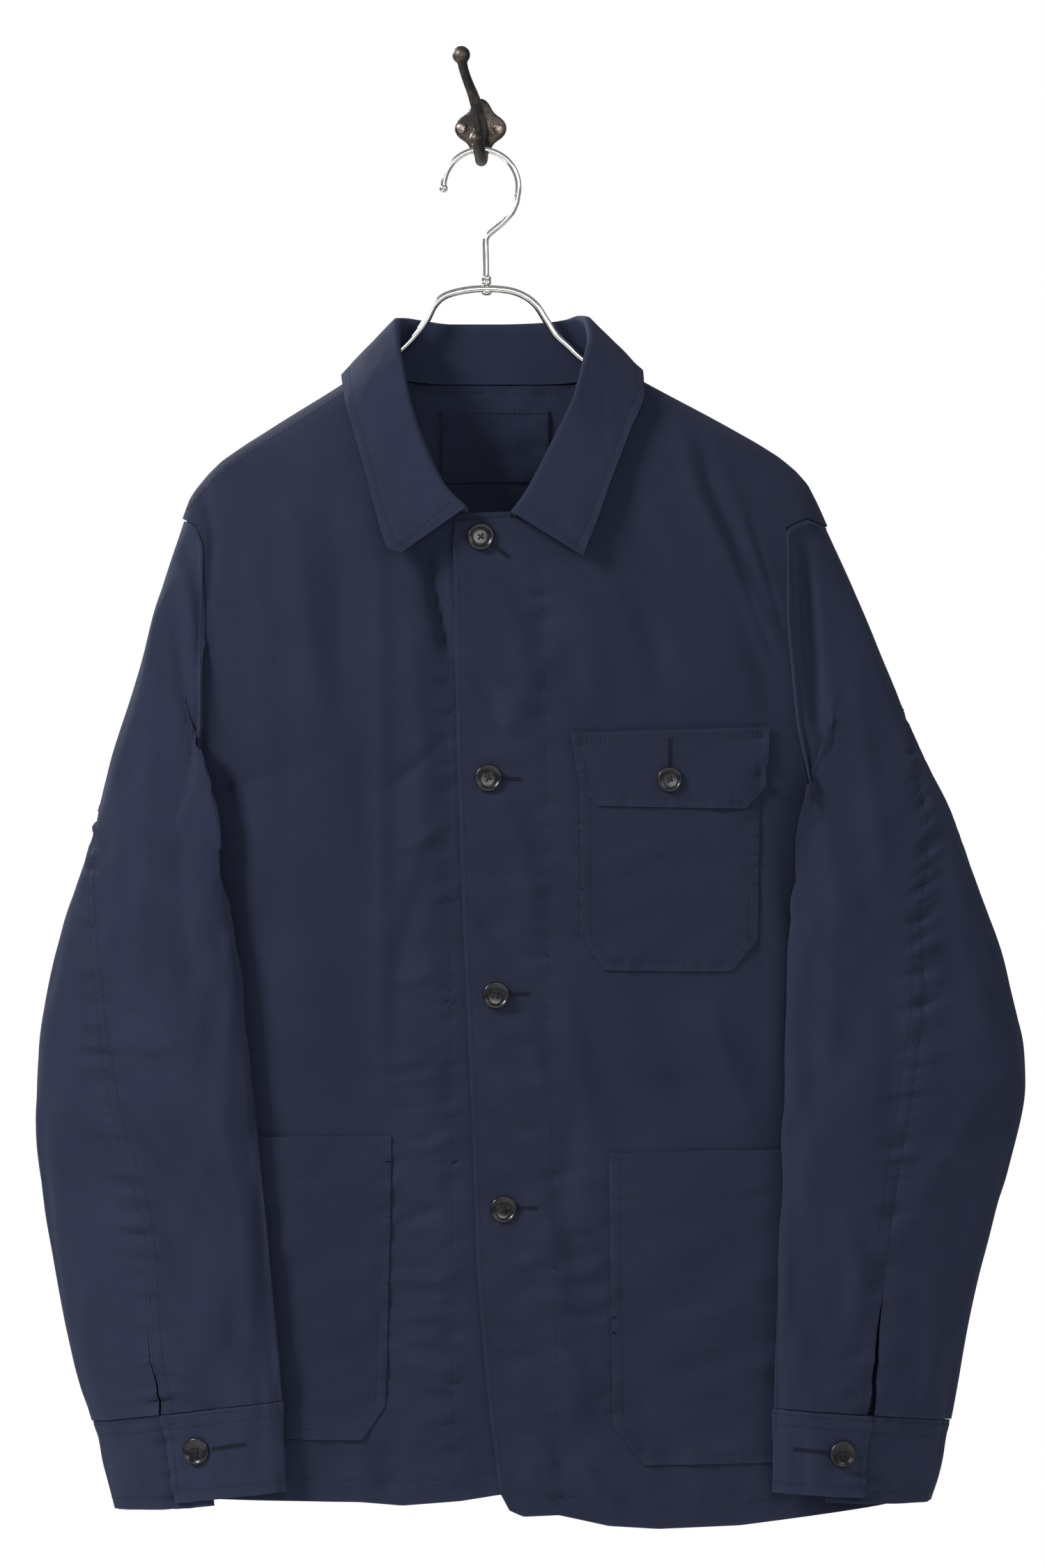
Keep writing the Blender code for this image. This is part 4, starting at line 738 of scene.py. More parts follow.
def normals_of(surface, u, v, outward):
    """Unit normals of surface(u, v), each on the side of `outward`."""
    normal = square_to(surface, u, v, 0.02, 0.02)
    return normal * np.where(np.sum(normal * outward, -1, keepdims=True) < 0, -1, 1)


EDGE_WEAR = (0.3, 1.8)  # how worn a cut's edges are, and the millimetres over which it fades
SHARP_ANGLE = 62  # degrees: a bend sharper than this is drawn as an edge


def shell(name, base, towards, low, high, finish, slot_name, worn_at=None):
    """A thin closed shell over a grid of points, its outer face on the side of `towards`.

    It carries a UV map in metres of cloth, and how worn each point is: most at the cut's edges.
    """
    rows, columns, _ = base.shape
    across_grid, down_grid = np.gradient(base, axis=1), np.gradient(base, axis=0)
    normal = unit_rows(np.cross(across_grid, down_grid))
    middle = normal[rows // 2, columns // 2]
    normal = normal * (1 if np.dot(middle, towards) > 0 else -1)
    layers = np.concatenate([base + normal * high, base + normal * low])
    count = rows * columns
    faces = []
    for i in range(rows - 1):
        for j in range(columns - 1):
            quad = (i * columns + j, i * columns + j + 1, (i + 1) * columns + j + 1, (i + 1) * columns + j)
            faces.append(quad)
            faces.append(tuple(count + k for k in reversed(quad)))
    rim = list(range(columns)) + [i * columns + columns - 1 for i in range(1, rows)]
    rim += [(rows - 1) * columns + j for j in range(columns - 2, -1, -1)]
    rim += [i * columns for i in range(rows - 2, 0, -1)]
    for a, b in zip(rim, rim[1:] + rim[:1]):
        faces.append((b, a, count + a, count + b))
    made = add_piece(name, layers.reshape(-1, 3), faces, finish, slot_name)
    mesh = made.data
    wide = np.linalg.norm(np.diff(base, axis=1), axis=-1).mean(0)
    long = np.linalg.norm(np.diff(base, axis=0), axis=-1).mean(1)
    u, v = np.meshgrid(np.r_[0, np.cumsum(wide)], np.r_[0, np.cumsum(long)])
    cut = np.stack([u, -v], -1).reshape(-1, 2) * METRES
    cut = np.concatenate([cut, cut])
    corner = np.zeros(len(mesh.loops), int)
    mesh.loops.foreach_get("vertex_index", corner)
    layer = mesh.uv_layers.new(name="cut")
    layer.data.foreach_set("uv", cut[corner].ravel())
    to_edge = np.minimum(np.minimum(u, u.max() - u), np.minimum(v, v.max() - v))
    worn = EDGE_WEAR[0] * np.exp(-to_edge / EDGE_WEAR[1])
    if worn_at is not None:
        worn = np.maximum(worn, worn_at)
    tone = mesh.attributes.new("worn", "FLOAT", "POINT")
    tone.data.foreach_set("value", np.tile(worn.ravel(), 2).astype(np.float32))
    mesh.set_sharp_from_angle(angle=math.radians(SHARP_ANGLE))
    return made


stitch_lines = []


def stitch(surface, line, outward, lift=0.1, spacing=2.0):
    """Keeps a line of stitches that lies on a surface, from its corners in u and v."""
    run = np.linalg.norm(np.diff(np.asarray(line, float), axis=0), axis=1).sum()
    at = along(line, np.linspace(0, 1, max(int(run / spacing), 2) + 1))
    normal = normals_of(surface, at[:, 0], at[:, 1], outward)
    stitch_lines.append(surface(at[:, 0], at[:, 1]) + normal * lift)


FRONT_ARMHOLES = {
    "right": ((-194, 257), (-184, 262), (-179, 275), (-179, 325), (-179, 390),
              (-184, 432), (-193, 452), (-207, 462)),
    "left": ((226, 262), (212, 257), (198, 263), (198, 325), (204, 389),
             (213, 434), (226, 454), (242, 466)),
}
BACK_ARMHOLES = {
    "right": ((-194, 257), (-184, 262), (-179, 275), (-179, 325), (-184, 390), (-195, 435), (-207, 462)),
    "left": ((226, 262), (212, 257), (198, 263), (198, 325), (208, 389), (226, 437), (242, 466)),
}
NECK_BACK = (
    (-66, 152), (-62, 157.5), (-57, 163), (-43, 169), (-10, 169), (28, 169), (62, 169), (72, 163),
    (76, 157.5), (80, 152),
)  # fmt: skip
SHOULDER_RIGHT = (-194, -189, -184, -178, -168, -150, -128, -106, -86, -66)
SHOULDER_LEFT = (80, 100, 122, 144, 164, 180, 194, 205, 213, 220, 226)
HEM_BACK_DROP = 892.0
ARMHOLE_GAP = 0.7


def shoulder(x):
    """The shoulder seam: places on the ridge."""
    return np.stack([x, ridge_drop(x)], -1)


def side_seam(side, start_drop, end_drop, count=6):
    drop = np.linspace(start_drop, end_drop, count)
    return np.stack([section(drop, side), drop], -1)


def inset(line, amount):
    """The line moved sideways in x, so that the pieces at a seam keep their gap."""
    return np.asarray(line, float) + (amount, 0)


BACKWARDS = (0, 1, 0.001)
right_side = side_seam("right", BACK_ARMHOLES["right"][-1][1], HEM_BACK_DROP)[1:]
right_side = np.concatenate([inset(BACK_ARMHOLES["right"], ARMHOLE_GAP / 2), right_side])
left_side = side_seam("left", BACK_ARMHOLES["left"][-1][1], HEM_BACK_DROP)[1:]
left_side = np.concatenate([inset(BACK_ARMHOLES["left"], -ARMHOLE_GAP / 2), left_side])
back_top = np.concatenate([shoulder(SHOULDER_RIGHT), NECK_BACK[1:-1], shoulder(SHOULDER_LEFT)])
back_hem = np.stack([np.linspace(-208, 268, 12), np.full(12, HEM_BACK_DROP)], -1)
back_v = np.r_[np.linspace(0, 0.05, 14)[:-1], np.linspace(0.05, 1, 190)]
x, drop = panel_grid(back_top, back_hem, right_side, left_side, np.linspace(0, 1, 104), back_v)
back = shell("back_panel", on_back(x, drop), (0, 1, 0), -CLOTH, 0, NAVY_TWILL, "navy_twill")
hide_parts("back")
stitch(on_back, BACK_HEM_STITCH, BACKWARDS)


def inner_back(x, drop):
    """The back's inner face, one layer of cloth inside its outer face."""
    return on_back(x, drop) + normals_of(on_back, x, drop, BACKWARDS) * -CLOTH


stitch(inner_back, NECK_STITCH, (0, -1, 0.001))

# ------------------------------------------------------------------------ the right front
# The underlap: cut like the left front, its front edge turned back as a facing and stitched
# down, which draws the cloth into small puckers. It sinks behind the overlap towards its edge.

FRONT_POWER = 2.3
FRONT_ROUND = 140.0
UNDERLAP_STEP = 2.8
TUCK_WIDTH = 26.0
TUCK_TOP = 235.0  # the underlap starts to sink here, and has done so TUCK_EASE lower down
TUCK_EASE = 25.0
FRONT_FOLDS = (
    (((129, 182), (138, 233), (158, 274), (176, 312), (200, 341)), 7, 4.0),
    (((139, 185), (150, 240), (168, 282), (190, 322)), 5, -3.5),
    (((155, 214), (168, 252), (184, 292), (202, 336)), 6, 3.5),
    (((160, 290), (172, 325), (184, 360), (188, 392)), 8, -4.0),
    (((-77, 232), (-67, 283), (-64, 353), (-63, 650)), 6, 2.2),
    (((-38, 270), (-29, 310), (-20, 352)), 6, -5.0),
    (((14, 402), (24, 380), (42, 350), (54, 332)), 9, 2.2),
    (((-30, 735), (-6, 770), (10, 830)), 12, 2.5),
    (((40, 700), (52, 760), (60, 850)), 14, 2.2),
    (((-130, 300), (-118, 450), (-112, 620)), 22, 3.0),
    (((120, 580), (135, 640), (150, 660)), 12, -2.2),
)
RIGHT_FACING = ((-21, 340), (-21, 480), (-19, 650), (-18, 800), (-17, 884))
LEFT_FACING = ((39, 290), (41, 354), (43, 554), (47, 714), (51, 894))
RIGHT_HEM_STITCH = ((-207, 880), (-180, 877), (-77, 878), (-50, 879), (-13, 876), (13, 873), (38, 873))
LEFT_HEM_STITCH = ((16, 884), (51, 887), (115, 895), (168, 893), (210, 888), (266, 881))
FRONT_CREASES = (
    (((-182, 234), (-176, 256), (-173.5, 272), (-175, 300), (-177, 322)), 4, -2.8),
    (((-176, 326), (-172, 360), (-167, 400), (-160, 446)), 6, -3.4),
    (((-80, 520), (-68, 700), (-62, 880)), 34, -4.4),
    (((-36, 272), (-28, 306), (-19, 346)), 3, -2.6),
    (((174, 256), (188, 300), (199, 337)), 3, -1.7),
    (((166, 286), (181, 324), (193, 352)), 3, -1.6),
    (((-122, 232), (-116, 300), (-104, 380)), 9, 1.6),
    (((-150, 246), (-142, 320), (-140, 420), (-146, 520)), 10, 1.9),
    (((-98, 214), (-92, 290), (-88, 400)), 10, -1.7),
    (((-44, 330), (-36, 420), (-42, 500)), 8, 1.5),
    (((-34, 480), (-52, 540), (-58, 600)), 7, -1.5),
    (((-24, 402), (-44, 420), (-60, 432)), 4.5, -1.2),
    (((-22, 452), (-40, 468), (-58, 470)), 4.5, 1.3),
    (((-24, 548), (-44, 556), (-62, 552)), 4.5, 1.3),
    (((-20, 600), (-36, 612), (-58, 618)), 5, -1.4),
    (((-16, 655), (-34, 664), (-54, 660)), 4, 1.4),
    (((-14, 700), (-34, 705), (-56, 716)), 4.5, -1.5),
    (((-10, 742), (-30, 750), (-56, 745)), 4.5, 1.6),
    (((-52, 796), (-34, 804), (-14, 808)), 5, 2.0),
    (((-54, 812), (-36, 822), (-12, 826)), 4, -1.8),
    (((-8, 850), (-30, 856), (-50, 850)), 4, 1.2),
    (((8, 300), (26, 330), (30, 372)), 8, 1.6),
    (((-8, 352), (6, 372), (16, 400)), 6, -1.4),
    (((10, 432), (28, 470), (34, 520)), 8, 1.5),
    (((-6, 500), (10, 530), (28, 548)), 6, -1.3),
    (((56, 560), (62, 610), (76, 660)), 9, 1.8),
    (((60, 640), (54, 700), (62, 760)), 8, -1.8),
    (((30, 596), (40, 620), (66, 640)), 5, 1.3),
    (((4, 640), (24, 652), (44, 650)), 4.5, -1.2),
    (((6, 728), (26, 738), (44, 732)), 4.5, 1.4),
    (((10, 776), (30, 782), (48, 796)), 4.5, -1.4),
    (((54, 790), (66, 812), (82, 822)), 6, 1.6),
    (((26, 850), (40, 858), (50, 876)), 5, 1.5),
    (((66, 864), (76, 884), (88, 898)), 6, 1.6),
    (((100, 300), (112, 340), (118, 380)), 10, -1.8),
    (((60, 300), (74, 340), (70, 385)), 12, 1.8),
    (((186, 470), (196, 540), (190, 640)), 9, 1.8),
    (((148, 566), (160, 612), (178, 650)), 8, 1.5),
    (((208, 880), (214, 840), (222, 790)), 8, 1.6),
)
FRONT_DRAGS = table(DRAG_COLUMNS, (
    (-38, 745, 22, 140, -5, 34, 8.5, 0.95),
    (-40, 520, 26, 130, 14, 38, 12, 0.7),
    (20, 600, 20, 280, 6, 30, 11, 0.7),
    (66, 760, 20, 130, -10, 30, 10, 0.9),
    (-110, 780, 70, 90, 10, 50, 17, 0.8),
    (165, 770, 70, 110, -14, 55, 16, 0.8),
    (120, 600, 70, 60, 20, 50, 22, 0.9),
    (-120, 420, 60, 190, 82, 150, 26, 1.2),
    (110, 300, 80, 100, 64, 90, 20, 0.8),
    (20, 872, 200, 24, 78, 30, 15, 0.8),
))
FRONT_SEAMS = (
    (RIGHT_FACING, 7.5, 0.75, 7.5, 11), (LEFT_FACING, 7.5, 0.7, 8.5, 12),
    (RIGHT_HEM_STITCH, 6, 0.45, 10, 13), (LEFT_HEM_STITCH, 6, 0.45, 11, 14),
    (((-57, 660), (-57, 740), (-61, 830)), 5, 0.7, 7, 15),
    (((83, 668), (84, 760), (85.5, 843)), 5, 0.7, 8, 16),
    (((64, 401), (65, 526)), 4, 0.5, 8, 17), (((181, 398), (179, 530)), 4, 0.45, 8, 18),
)


CREASE_STRENGTH = 1.45


def front_depth(x, drop):
    """Depth of the fronts' outer face."""
    side = section(drop, "side_depth")
    middle = across(x, drop, FRONT_POWER)
    full = side + (section(drop, "front_depth") - side) * middle
    turn = turned_down(x, drop, FRONT_ROUND)
    folds = relief(x, drop, FRONT_FOLDS) * turn * middle**0.5
    return RIDGE_DEPTH + SEAM_GAP / 2 + (full - RIDGE_DEPTH) * turn + folds


def on_front(x, drop):
    """The fronts' outer face with every crease, drag wrinkle and pucker."""
    fine = relief(x, drop, FRONT_CREASES) + drags(x, drop, FRONT_DRAGS) + puckers(x, drop, FRONT_SEAMS)
    fine = fine * CREASE_STRENGTH
    fade = turned_down(x, drop, 60) * np.clip(across(x, drop, FRONT_POWER) * 2.5, 0, 1)
    return np.stack([x, -front_depth(x, drop) - fine * fade, -drop], -1)


def right_face(x, drop):
    """Outer face of the right front, which sinks behind the overlap."""
    edge = np.interp(drop, [d for _, d in OVERLAP_EDGE], [x for x, _ in OVERLAP_EDGE])
    sunk = np.clip((x - edge + TUCK_WIDTH) / TUCK_WIDTH, 0, 1)
    sunk = sunk * sunk * (3 - 2 * sunk) * np.clip((drop - TUCK_TOP) / TUCK_EASE, 0, 1)
    return on_front(x, drop) + np.stack([0 * x, UNDERLAP_STEP * sunk, 0 * x], -1)


NECK_RIGHT = ((-66, 152), (-64, 180), (-56, 208), (-42, 232), (-26, 247), (-8, 254), (20, 253))
NECK_LEFT = ((80, 152), (79, 180), (72, 207), (58, 232), (42, 248), (22, 257), (-16, 260))
OVERLAP_EDGE = ((-17.5, 272), (-15, 409), (-11, 520), (-6, 631), (-2, 743), (6, 834), (12.6, 885), (19, 897))
UNDERLAP_EDGE = ((20, 268), (25, 420), (30, 565), (35, 703), (41, 888))
HEM_RIGHT = ((41, 888), (13, 887), (-13, 891), (-50, 894), (-77, 892), (-180, 891), (-208, 895))
HEM_LEFT = ((19, 897), (28, 901), (51, 900), (83, 907), (115, 909), (168, 907), (210, 902), (268, 895))
FORWARDS = (0, -1, 0.001)


def corners(line, count=None):
    """Shares of a line's length at its first corners."""
    run = np.r_[0, np.cumsum(np.linalg.norm(np.diff(np.asarray(line, float), axis=0), axis=1))]
    return (run / run[-1])[:count]


def filled(marks, count):
    """The marks in order, with more between them where the gaps are widest."""
    marks = sorted(marks)
    marks = [a for a, b in zip(marks, marks[1:]) if b - a > 1e-3 * (marks[-1] - marks[0])] + marks[-1:]
    gaps = np.diff(marks)
    parts = np.maximum(1, np.round(gaps / gaps.sum() * count)).astype(int)
    return np.concatenate([[a + (b - a) * k / n for k in range(n)]
                           for a, b, n in zip(marks, marks[1:], parts)] + [[marks[-1]]])


def front_shell(name, side, face, neck, edge, hem, shoulder_x, columns, rows):
    """One front: from neck and front edge to armhole and side seam, shoulder seam to hem."""
    inward = ARMHOLE_GAP / 2 if side == "right" else -ARMHOLE_GAP / 2
    armhole = FRONT_ARMHOLES[side]
    outer = np.concatenate([inset(armhole, inward), side_seam(side, armhole[-1][1], hem[-1][1])[1:]])
    inner = np.concatenate([neck, edge])
    v = filled([0, 1, *corners(inner, len(neck)), *corners(outer, len(armhole))], rows)
    u = np.linspace(0, 1, columns) ** 1.2
    x, drop = panel_grid(shoulder(shoulder_x), hem, inner, outer, u, v)
    # Both fronts take the darker copy of the twill; its extra darkness is painted shade.
    return shell(name, face(x, drop), (0, -1, 0), -CLOTH, 0, NAVY_FRONT_PAINTED_SHADE, "navy_twill")


# The fronts' cloth is the navy twill made about a tenth darker: painted shade, so that the fronts look darker
# than the sleeves, back and collar under these lights.
NAVY_FRONT_PAINTED_SHADE = navy_cloth("navy_front_painted_shade", (0.0101, 0.0131, 0.0300), (0.0230, 0.0292, 0.0560), 0.0007, 0.00008)
front_right = front_shell("front_right_panel", "right", right_face, NECK_RIGHT, UNDERLAP_EDGE, HEM_RIGHT,
                          SHOULDER_RIGHT[::-1], 76, 390)
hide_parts("front_right")
for line in (RIGHT_FACING, RIGHT_HEM_STITCH, ((-190, 250), (-171, 228), (-137, 205), (-89, 175), (-70, 162))):
    stitch(right_face, line, FORWARDS)

# ------------------------------------------------------------------------- the left front
# The overlap: it lies on top, its faced edge turned under and stitched twice, and carries the
# buttonholes, the chest pocket and the left lower pocket. Folds run to it from the armhole.

front_left = front_shell("front_left_panel", "left", on_front, NECK_LEFT, OVERLAP_EDGE, HEM_LEFT,
                         SHOULDER_LEFT, 84, 400)
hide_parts("front_left")
overlap_stitch = [(x + 3.0, drop) for x, drop in OVERLAP_EDGE]
for line in (LEFT_FACING, LEFT_HEM_STITCH, overlap_stitch,
             ((84, 162), (108, 176), (162, 205), (194, 224), (213, 243))):
    stitch(on_front, line, FORWARDS)

# ----------------------------------------------------------------------------- the sleeves
# Each sleeve is a top piece and an under piece, joined by an inseam and by an elbow seam that
# shows on the front. The elbow seam is felled with two rows of stitches and puckers strongly.

SLEEVE_COLUMNS = (
    "out_x", "out_drop", "out_depth", "in_x", "in_drop", "in_depth", "front", "back", "seam",
    "fold",
)  # fmt: skip
SLEEVE_RINGS = {
    "right": table(
        SLEEVE_COLUMNS,
        (
            (-207, 301, 33, -205, 470, 62, 18, 13, -0.30, 16),
            (-222, 355, 36, -180, 488, 78, 19, 13, -0.22, 24),
            (-240, 414, 40, -165, 498, 81, 19, 13, -0.10, 8),
            (-254, 468, 43, -159, 522, 82, 19, 13, 0.02, 0),
            (-271, 520, 45, -154, 554, 83, 19, 13, 0.15, 0),
            (-283.5, 580, 47, -149, 601, 84, 19, 13, 0.26, 0),
            (-288, 640, 48, -144, 655, 85, 19, 13, 0.34, 0),
            (-281, 715, 48, -137, 722, 86, 18, 13, 0.43, 0),
            (-268, 787, 49, -131, 784, 87, 17, 13, 0.39, 0),
            (-252, 842, 50, -127.5, 826, 88, 16, 13, 0.37, 0),
            (-237, 898, 50, -124, 884, 88, 15, 13, 0.35, 0),
        ),
    ),
    "left": table(
        SLEEVE_COLUMNS,
        (
            (244, 305, 33, 240, 474, 62, 18, 13, -0.30, 16),
            (264.5, 355, 36, 214, 490, 78, 19, 13, -0.14, 24),
            (284, 403, 40, 201.5, 500, 81, 19, 13, 0.04, 8),
            (305, 447, 43, 200, 520, 83, 19, 13, 0.14, 0),
            (323, 495, 45, 198.5, 549, 84, 19, 13, 0.30, 0),
            (344, 558, 47, 197, 594, 85, 19, 13, 0.39, 0),
            (353, 622, 48, 195.5, 642, 86, 19, 13, 0.47, 0),
            (339, 690, 48, 194, 700, 87, 18, 13, 0.49, 0),
            (321.5, 760, 49, 192, 764, 88, 17, 13, 0.48, 0),
            (306, 841, 50, 190, 831, 88, 16, 13, 0.46, 0),
            (294.5, 893, 50, 189, 885, 88, 15, 13, 0.45, 0),
        ),
    ),
}
CUFF_RING = 10
LAST_RING = 11
INSEAM = 191.0
BEHIND = {"right": 1.5, "left": 1.8}  # the back draws outwards this much more than it folds
SLEEVE_CLEARANCE = 2.4
SLEEVE_FOLDS = {
    "right": (
        (((-200, 275), (-194, 330), (-186, 400), (-182, 430)), 6, -3.5),
        (((-231, 622), (-200, 660), (-165, 694)), 9, 3.0),
        (((-205, 727), (-190, 750), (-177, 769)), 8, -3.0),
        (((-154, 690), (-149, 740), (-147, 790)), 6, 2.5),
        (((-223, 418), (-236, 500), (-240, 540)), 12, 2.5),
    ),
    "left": (
        (((208, 236), (206, 262), (211, 300), (216, 352), (220, 392)), 5, -5.0),
        (((211, 545), (212, 620), (211, 670)), 9, -2.2),
        (((345, 613), (326, 631), (305, 665), (280, 706), (265, 727)), 8, 3.5),
        (((292, 706), (271, 745)), 7, -2.5),
        (((226, 373), (232, 410)), 8, 2.0),
    ),
}
SLEEVE_CREASES = {
    "right": (
        (((-196, 262), (-190, 286), (-184, 306), (-181.5, 332), (-182, 352)), 4, -3.2),
        (((-236, 330), (-246, 420), (-262, 500)), 7, 1.6),
        (((-210, 300), (-214, 380), (-216, 480), (-222, 560)), 9, 1.8),
        (((-196, 420), (-192, 520), (-186, 600)), 8, -1.6),
        (((-246, 556), (-230, 575), (-204, 586)), 5, -1.5),
        (((-238, 590), (-215, 600), (-190, 596)), 5, 1.4),
        (((-226, 640), (-204, 672), (-180, 694)), 4.5, -1.8),
        (((-232, 700), (-212, 716), (-190, 742)), 5, 1.8),
        (((-222, 755), (-204, 768), (-186, 790)), 5, -1.6),
        (((-220, 800), (-200, 806), (-180, 812)), 4.5, 1.3),
        (((-262, 600), (-274, 660), (-268, 720)), 8, 1.6),
        (((-250, 740), (-256, 790), (-246, 830)), 6, 1.4),
        (((-160, 560), (-166, 640), (-158, 700)), 8, 1.4),
        (((-206, 820), (-192, 830), (-160, 836)), 5, -1.3),
    ),
    "left": (
        (((208, 256), (210, 280), (211.5, 310), (213, 345), (217, 378), (222, 404)), 5, -4.2),
        (((240, 330), (250, 420), (262, 500)), 8, 1.6),
        (((222, 440), (228, 520), (226, 600)), 8, 1.5),
        (((262, 520), (270, 600), (262, 680)), 9, -1.6),
        (((300, 470), (316, 540), (332, 600)), 7, 1.5),
        (((286, 590), (300, 606), (330, 612)), 5, -1.4),
        (((278, 660), (290, 672), (320, 668)), 5, 1.3),
        (((338, 640), (318, 690), (296, 740)), 6, -2.0),
        (((292, 708), (280, 728), (270, 742)), 5, 2.0),
        (((300, 780), (290, 812), (288, 838)), 6, 1.6),
        (((318, 760), (312, 800), (304, 830)), 6, -1.5),
        (((214, 560), (206, 640), (210, 720)), 8, 1.4),
        (((232, 700), (244, 740), (240, 790)), 7, 1.3),
        (((214, 790), (230, 800), (250, 796)), 5, -1.2),
        (((224, 822), (240, 816), (256, 822)), 4, 1.1),
    ),
}
SEAM_SEED = {"right": 21, "left": 22}


def inside_body(x, drop, side):
    """How far a point lies inside the body's edge, in millimetres: armhole, then side seam."""
    armhole = np.array(FRONT_ARMHOLES[side])
    edge = np.where(
        drop < armhole[-1, 1],
        np.interp(drop, armhole[:, 1], armhole[:, 0]),
        section(drop, side),
    )
    return (x - edge) * (1 if side == "right" else -1)


def armhole_edge(side, angle, outwards=0.0):
    """x and drop round the armhole: down the front's edge to 180 degrees, back up the back's."""
    over_front = angle <= 180
    share = np.where(over_front, angle, 360 - angle) / 180
    share = np.clip(share, 0, 1)
    before, behind = along(FRONT_ARMHOLES[side], share), along(BACK_ARMHOLES[side], share)
    line = np.where(over_front[..., None], before, behind)
    step = 0.004
    ahead = along(FRONT_ARMHOLES[side], np.clip(share + step, 0, 1))
    ahead = np.where(over_front[..., None], ahead, along(BACK_ARMHOLES[side], np.clip(share + step, 0, 1)))
    heading = ahead - line + (0, 1e-6)
    square = unit_rows(np.stack([heading[..., 1], -heading[..., 0]], -1))
    squarely = np.clip(np.where(over_front, (angle - 125) / 20, (360 - angle) / 20), 0, 1)
    away = ARMHOLE_GAP / 2 + ARMHOLE_SQUARE_GAP * squarely + outwards
    away = away * (1 if side == "left" else -1)
    return line[..., 0] + away * square[..., 0], line[..., 1] + away * square[..., 1]


def armhole_ring(side, angle):
    """The sleeve's first ring, level with the body's face all round the armhole."""
    x, drop = armhole_edge(side, angle)
    depth = np.where(angle <= 180, front_depth(x, drop), back_depth(x, drop))
    return np.stack([x, -depth, -drop], -1)


def ring_point(side, index, angle):
    """A point of one of the rings below the armhole."""
    ring = {name: values[index] for name, values in SLEEVE_RINGS[side].items()}
    outer = np.array((ring["out_x"], -ring["out_depth"], -ring["out_drop"]))
    inner = np.array((ring["in_x"], -ring["in_depth"], -ring["in_drop"]))
    turn = np.radians(angle)[..., None]
    bulge = np.where(turn < math.pi, ring["front"], ring["back"]) * np.sin(turn)
    ring_line = (outer + inner) / 2 + (outer - inner) / 2 * np.cos(turn)
    before = np.sin(math.pi * np.clip((np.degrees(turn) - 30) / 140, 0, 1))
    behind = np.sin(math.pi * np.clip((np.degrees(turn) - 180) / 105, 0, 1)) ** 2 * -BEHIND[side]
    over = ring["fold"] * np.where(turn < math.pi, before, behind)
    aside = np.array((-1 if side == "left" else 1, 0, 0))
    return ring_line + bulge * np.array((0, -1, 0)) + over * aside


def seam_angle(side, place):
    """Where the elbow seam crosses each ring, in degrees from the outer edge."""
    share = SLEEVE_RINGS[side]["seam"]
    share = np.r_[share[0], share]
    turned = np.sign(share) * np.degrees(np.arccos(1 - 2 * np.abs(share)))
    return through(place, np.arange(LAST_RING + 1), turned)


def sleeve(side):
    """The sleeve's outer face at an angle round it and a place down it, in rings."""

    def surface(angle, place):
        angle = np.mod(angle, 360)
        rings = [armhole_ring(side, angle)]
        rings += [ring_point(side, i, angle) for i in range(LAST_RING)]
        rings = np.stack([2 * rings[0] - rings[1], *rings, 2 * rings[-1] - rings[-2]])
        i = np.clip(np.floor(place), 0, LAST_RING - 1).astype(int)
        t = (place - i)[..., None]
        before, start, end, after = (
            np.take_along_axis(rings, (i + k)[None, ..., None], axis=0)[0] for k in range(4)
        )
        rise = t * (1 - t) * ((1 - t) * (end - before) - t * (after - start)) / 2
        ease = t * t * (3 - 2 * t)
        point = start + (end - start) * ease + rise
        return laid_clear(point, angle, place)

    def laid_clear(point, angle, place):
        """Folds on the front half, and the whole sleeve kept before the body's front."""
        x, drop = point[..., 0], -point[..., 2]
        facing = np.sin(np.radians(angle))
        fold = relief(x, drop, SLEEVE_FOLDS[side]) * np.clip(facing * 2, 0, 1)
        depth = -point[..., 1] + fold * np.clip(place, 0, 1)
        steepness = np.hypot(1, (front_depth(x + 1, drop) - front_depth(x - 1, drop)) / 2)
        clear = (SLEEVE_CLEARANCE + CLOTH) * np.clip(steepness, 1, 2.5) + 8.0 * (facing + 1)
        least = front_depth(x, drop) + clear
        share = np.clip(inside_body(x, drop, side) / 4 + 1, 0, 1) * np.clip(place / 0.3, 0, 1)
        depth = depth + np.maximum(least - depth, 0) * share
        return np.stack([x, -depth, point[..., 2]], -1)

    return surface


def sleeve_lift(side, angle, place):
    """Ripples along the seams, soft wrinkles, and longer folds on the side that is hidden."""
    from_seam = np.mod(angle - seam_angle(side, place) + 180, 360) - 180
    from_inseam = np.mod(angle - INSEAM + 180, 360) - 180
    run = place * 61.0
    seed = SEAM_SEED[side]
    ripple = noise(run / 7.0, from_seam / 30, seed) + 0.5 * noise(run / 3.2, from_seam / 12, seed + 40)
    crossing = noise(run / 8.5, from_seam / 40, seed + 60)
    tuck = np.exp(-((crossing / 0.17) ** 2)) * np.clip(noise(run / 35, 0 * run, seed + 61) + 0.9, 0, 1.4)
    total = (2.0 * ripple - 0.9 * tuck) * np.exp(-((from_seam / 10.0) ** 2)) * np.clip(place / 2 - 1, 0, 1)
    total = total - 0.7 * np.exp(-((from_seam / 1.8) ** 2))
    total = total + 0.6 * noise(run / 9, from_inseam / 30, seed + 3) * np.exp(-((from_inseam / 9) ** 2))
    hidden = np.clip(-np.sin(np.radians(angle)) * 2, 0, 1)
    beside_seam = 1 - np.exp(-((from_seam / 12.0) ** 2))
    hidden = hidden * beside_seam
    total = total + hidden * 1.8 * noise(run / 70 + 0.1 * np.cos(np.radians(angle)), angle / 22, seed + 5)
    soft = noise(run / 34, angle / 15 + run / 160, seed + 7) * np.clip(place / 6, 0.3, 1)
    total = total + 1.5 * soft * beside_seam
    at_cuff = np.exp(-(((run - CUFF_RING * 61.0) / 26) ** 2)) * beside_seam
    total = total + 0.8 * at_cuff * noise(angle / 7.5, run / 60, seed + 9)
    return total * np.clip(place / 2 - 0.4, 0, 1)


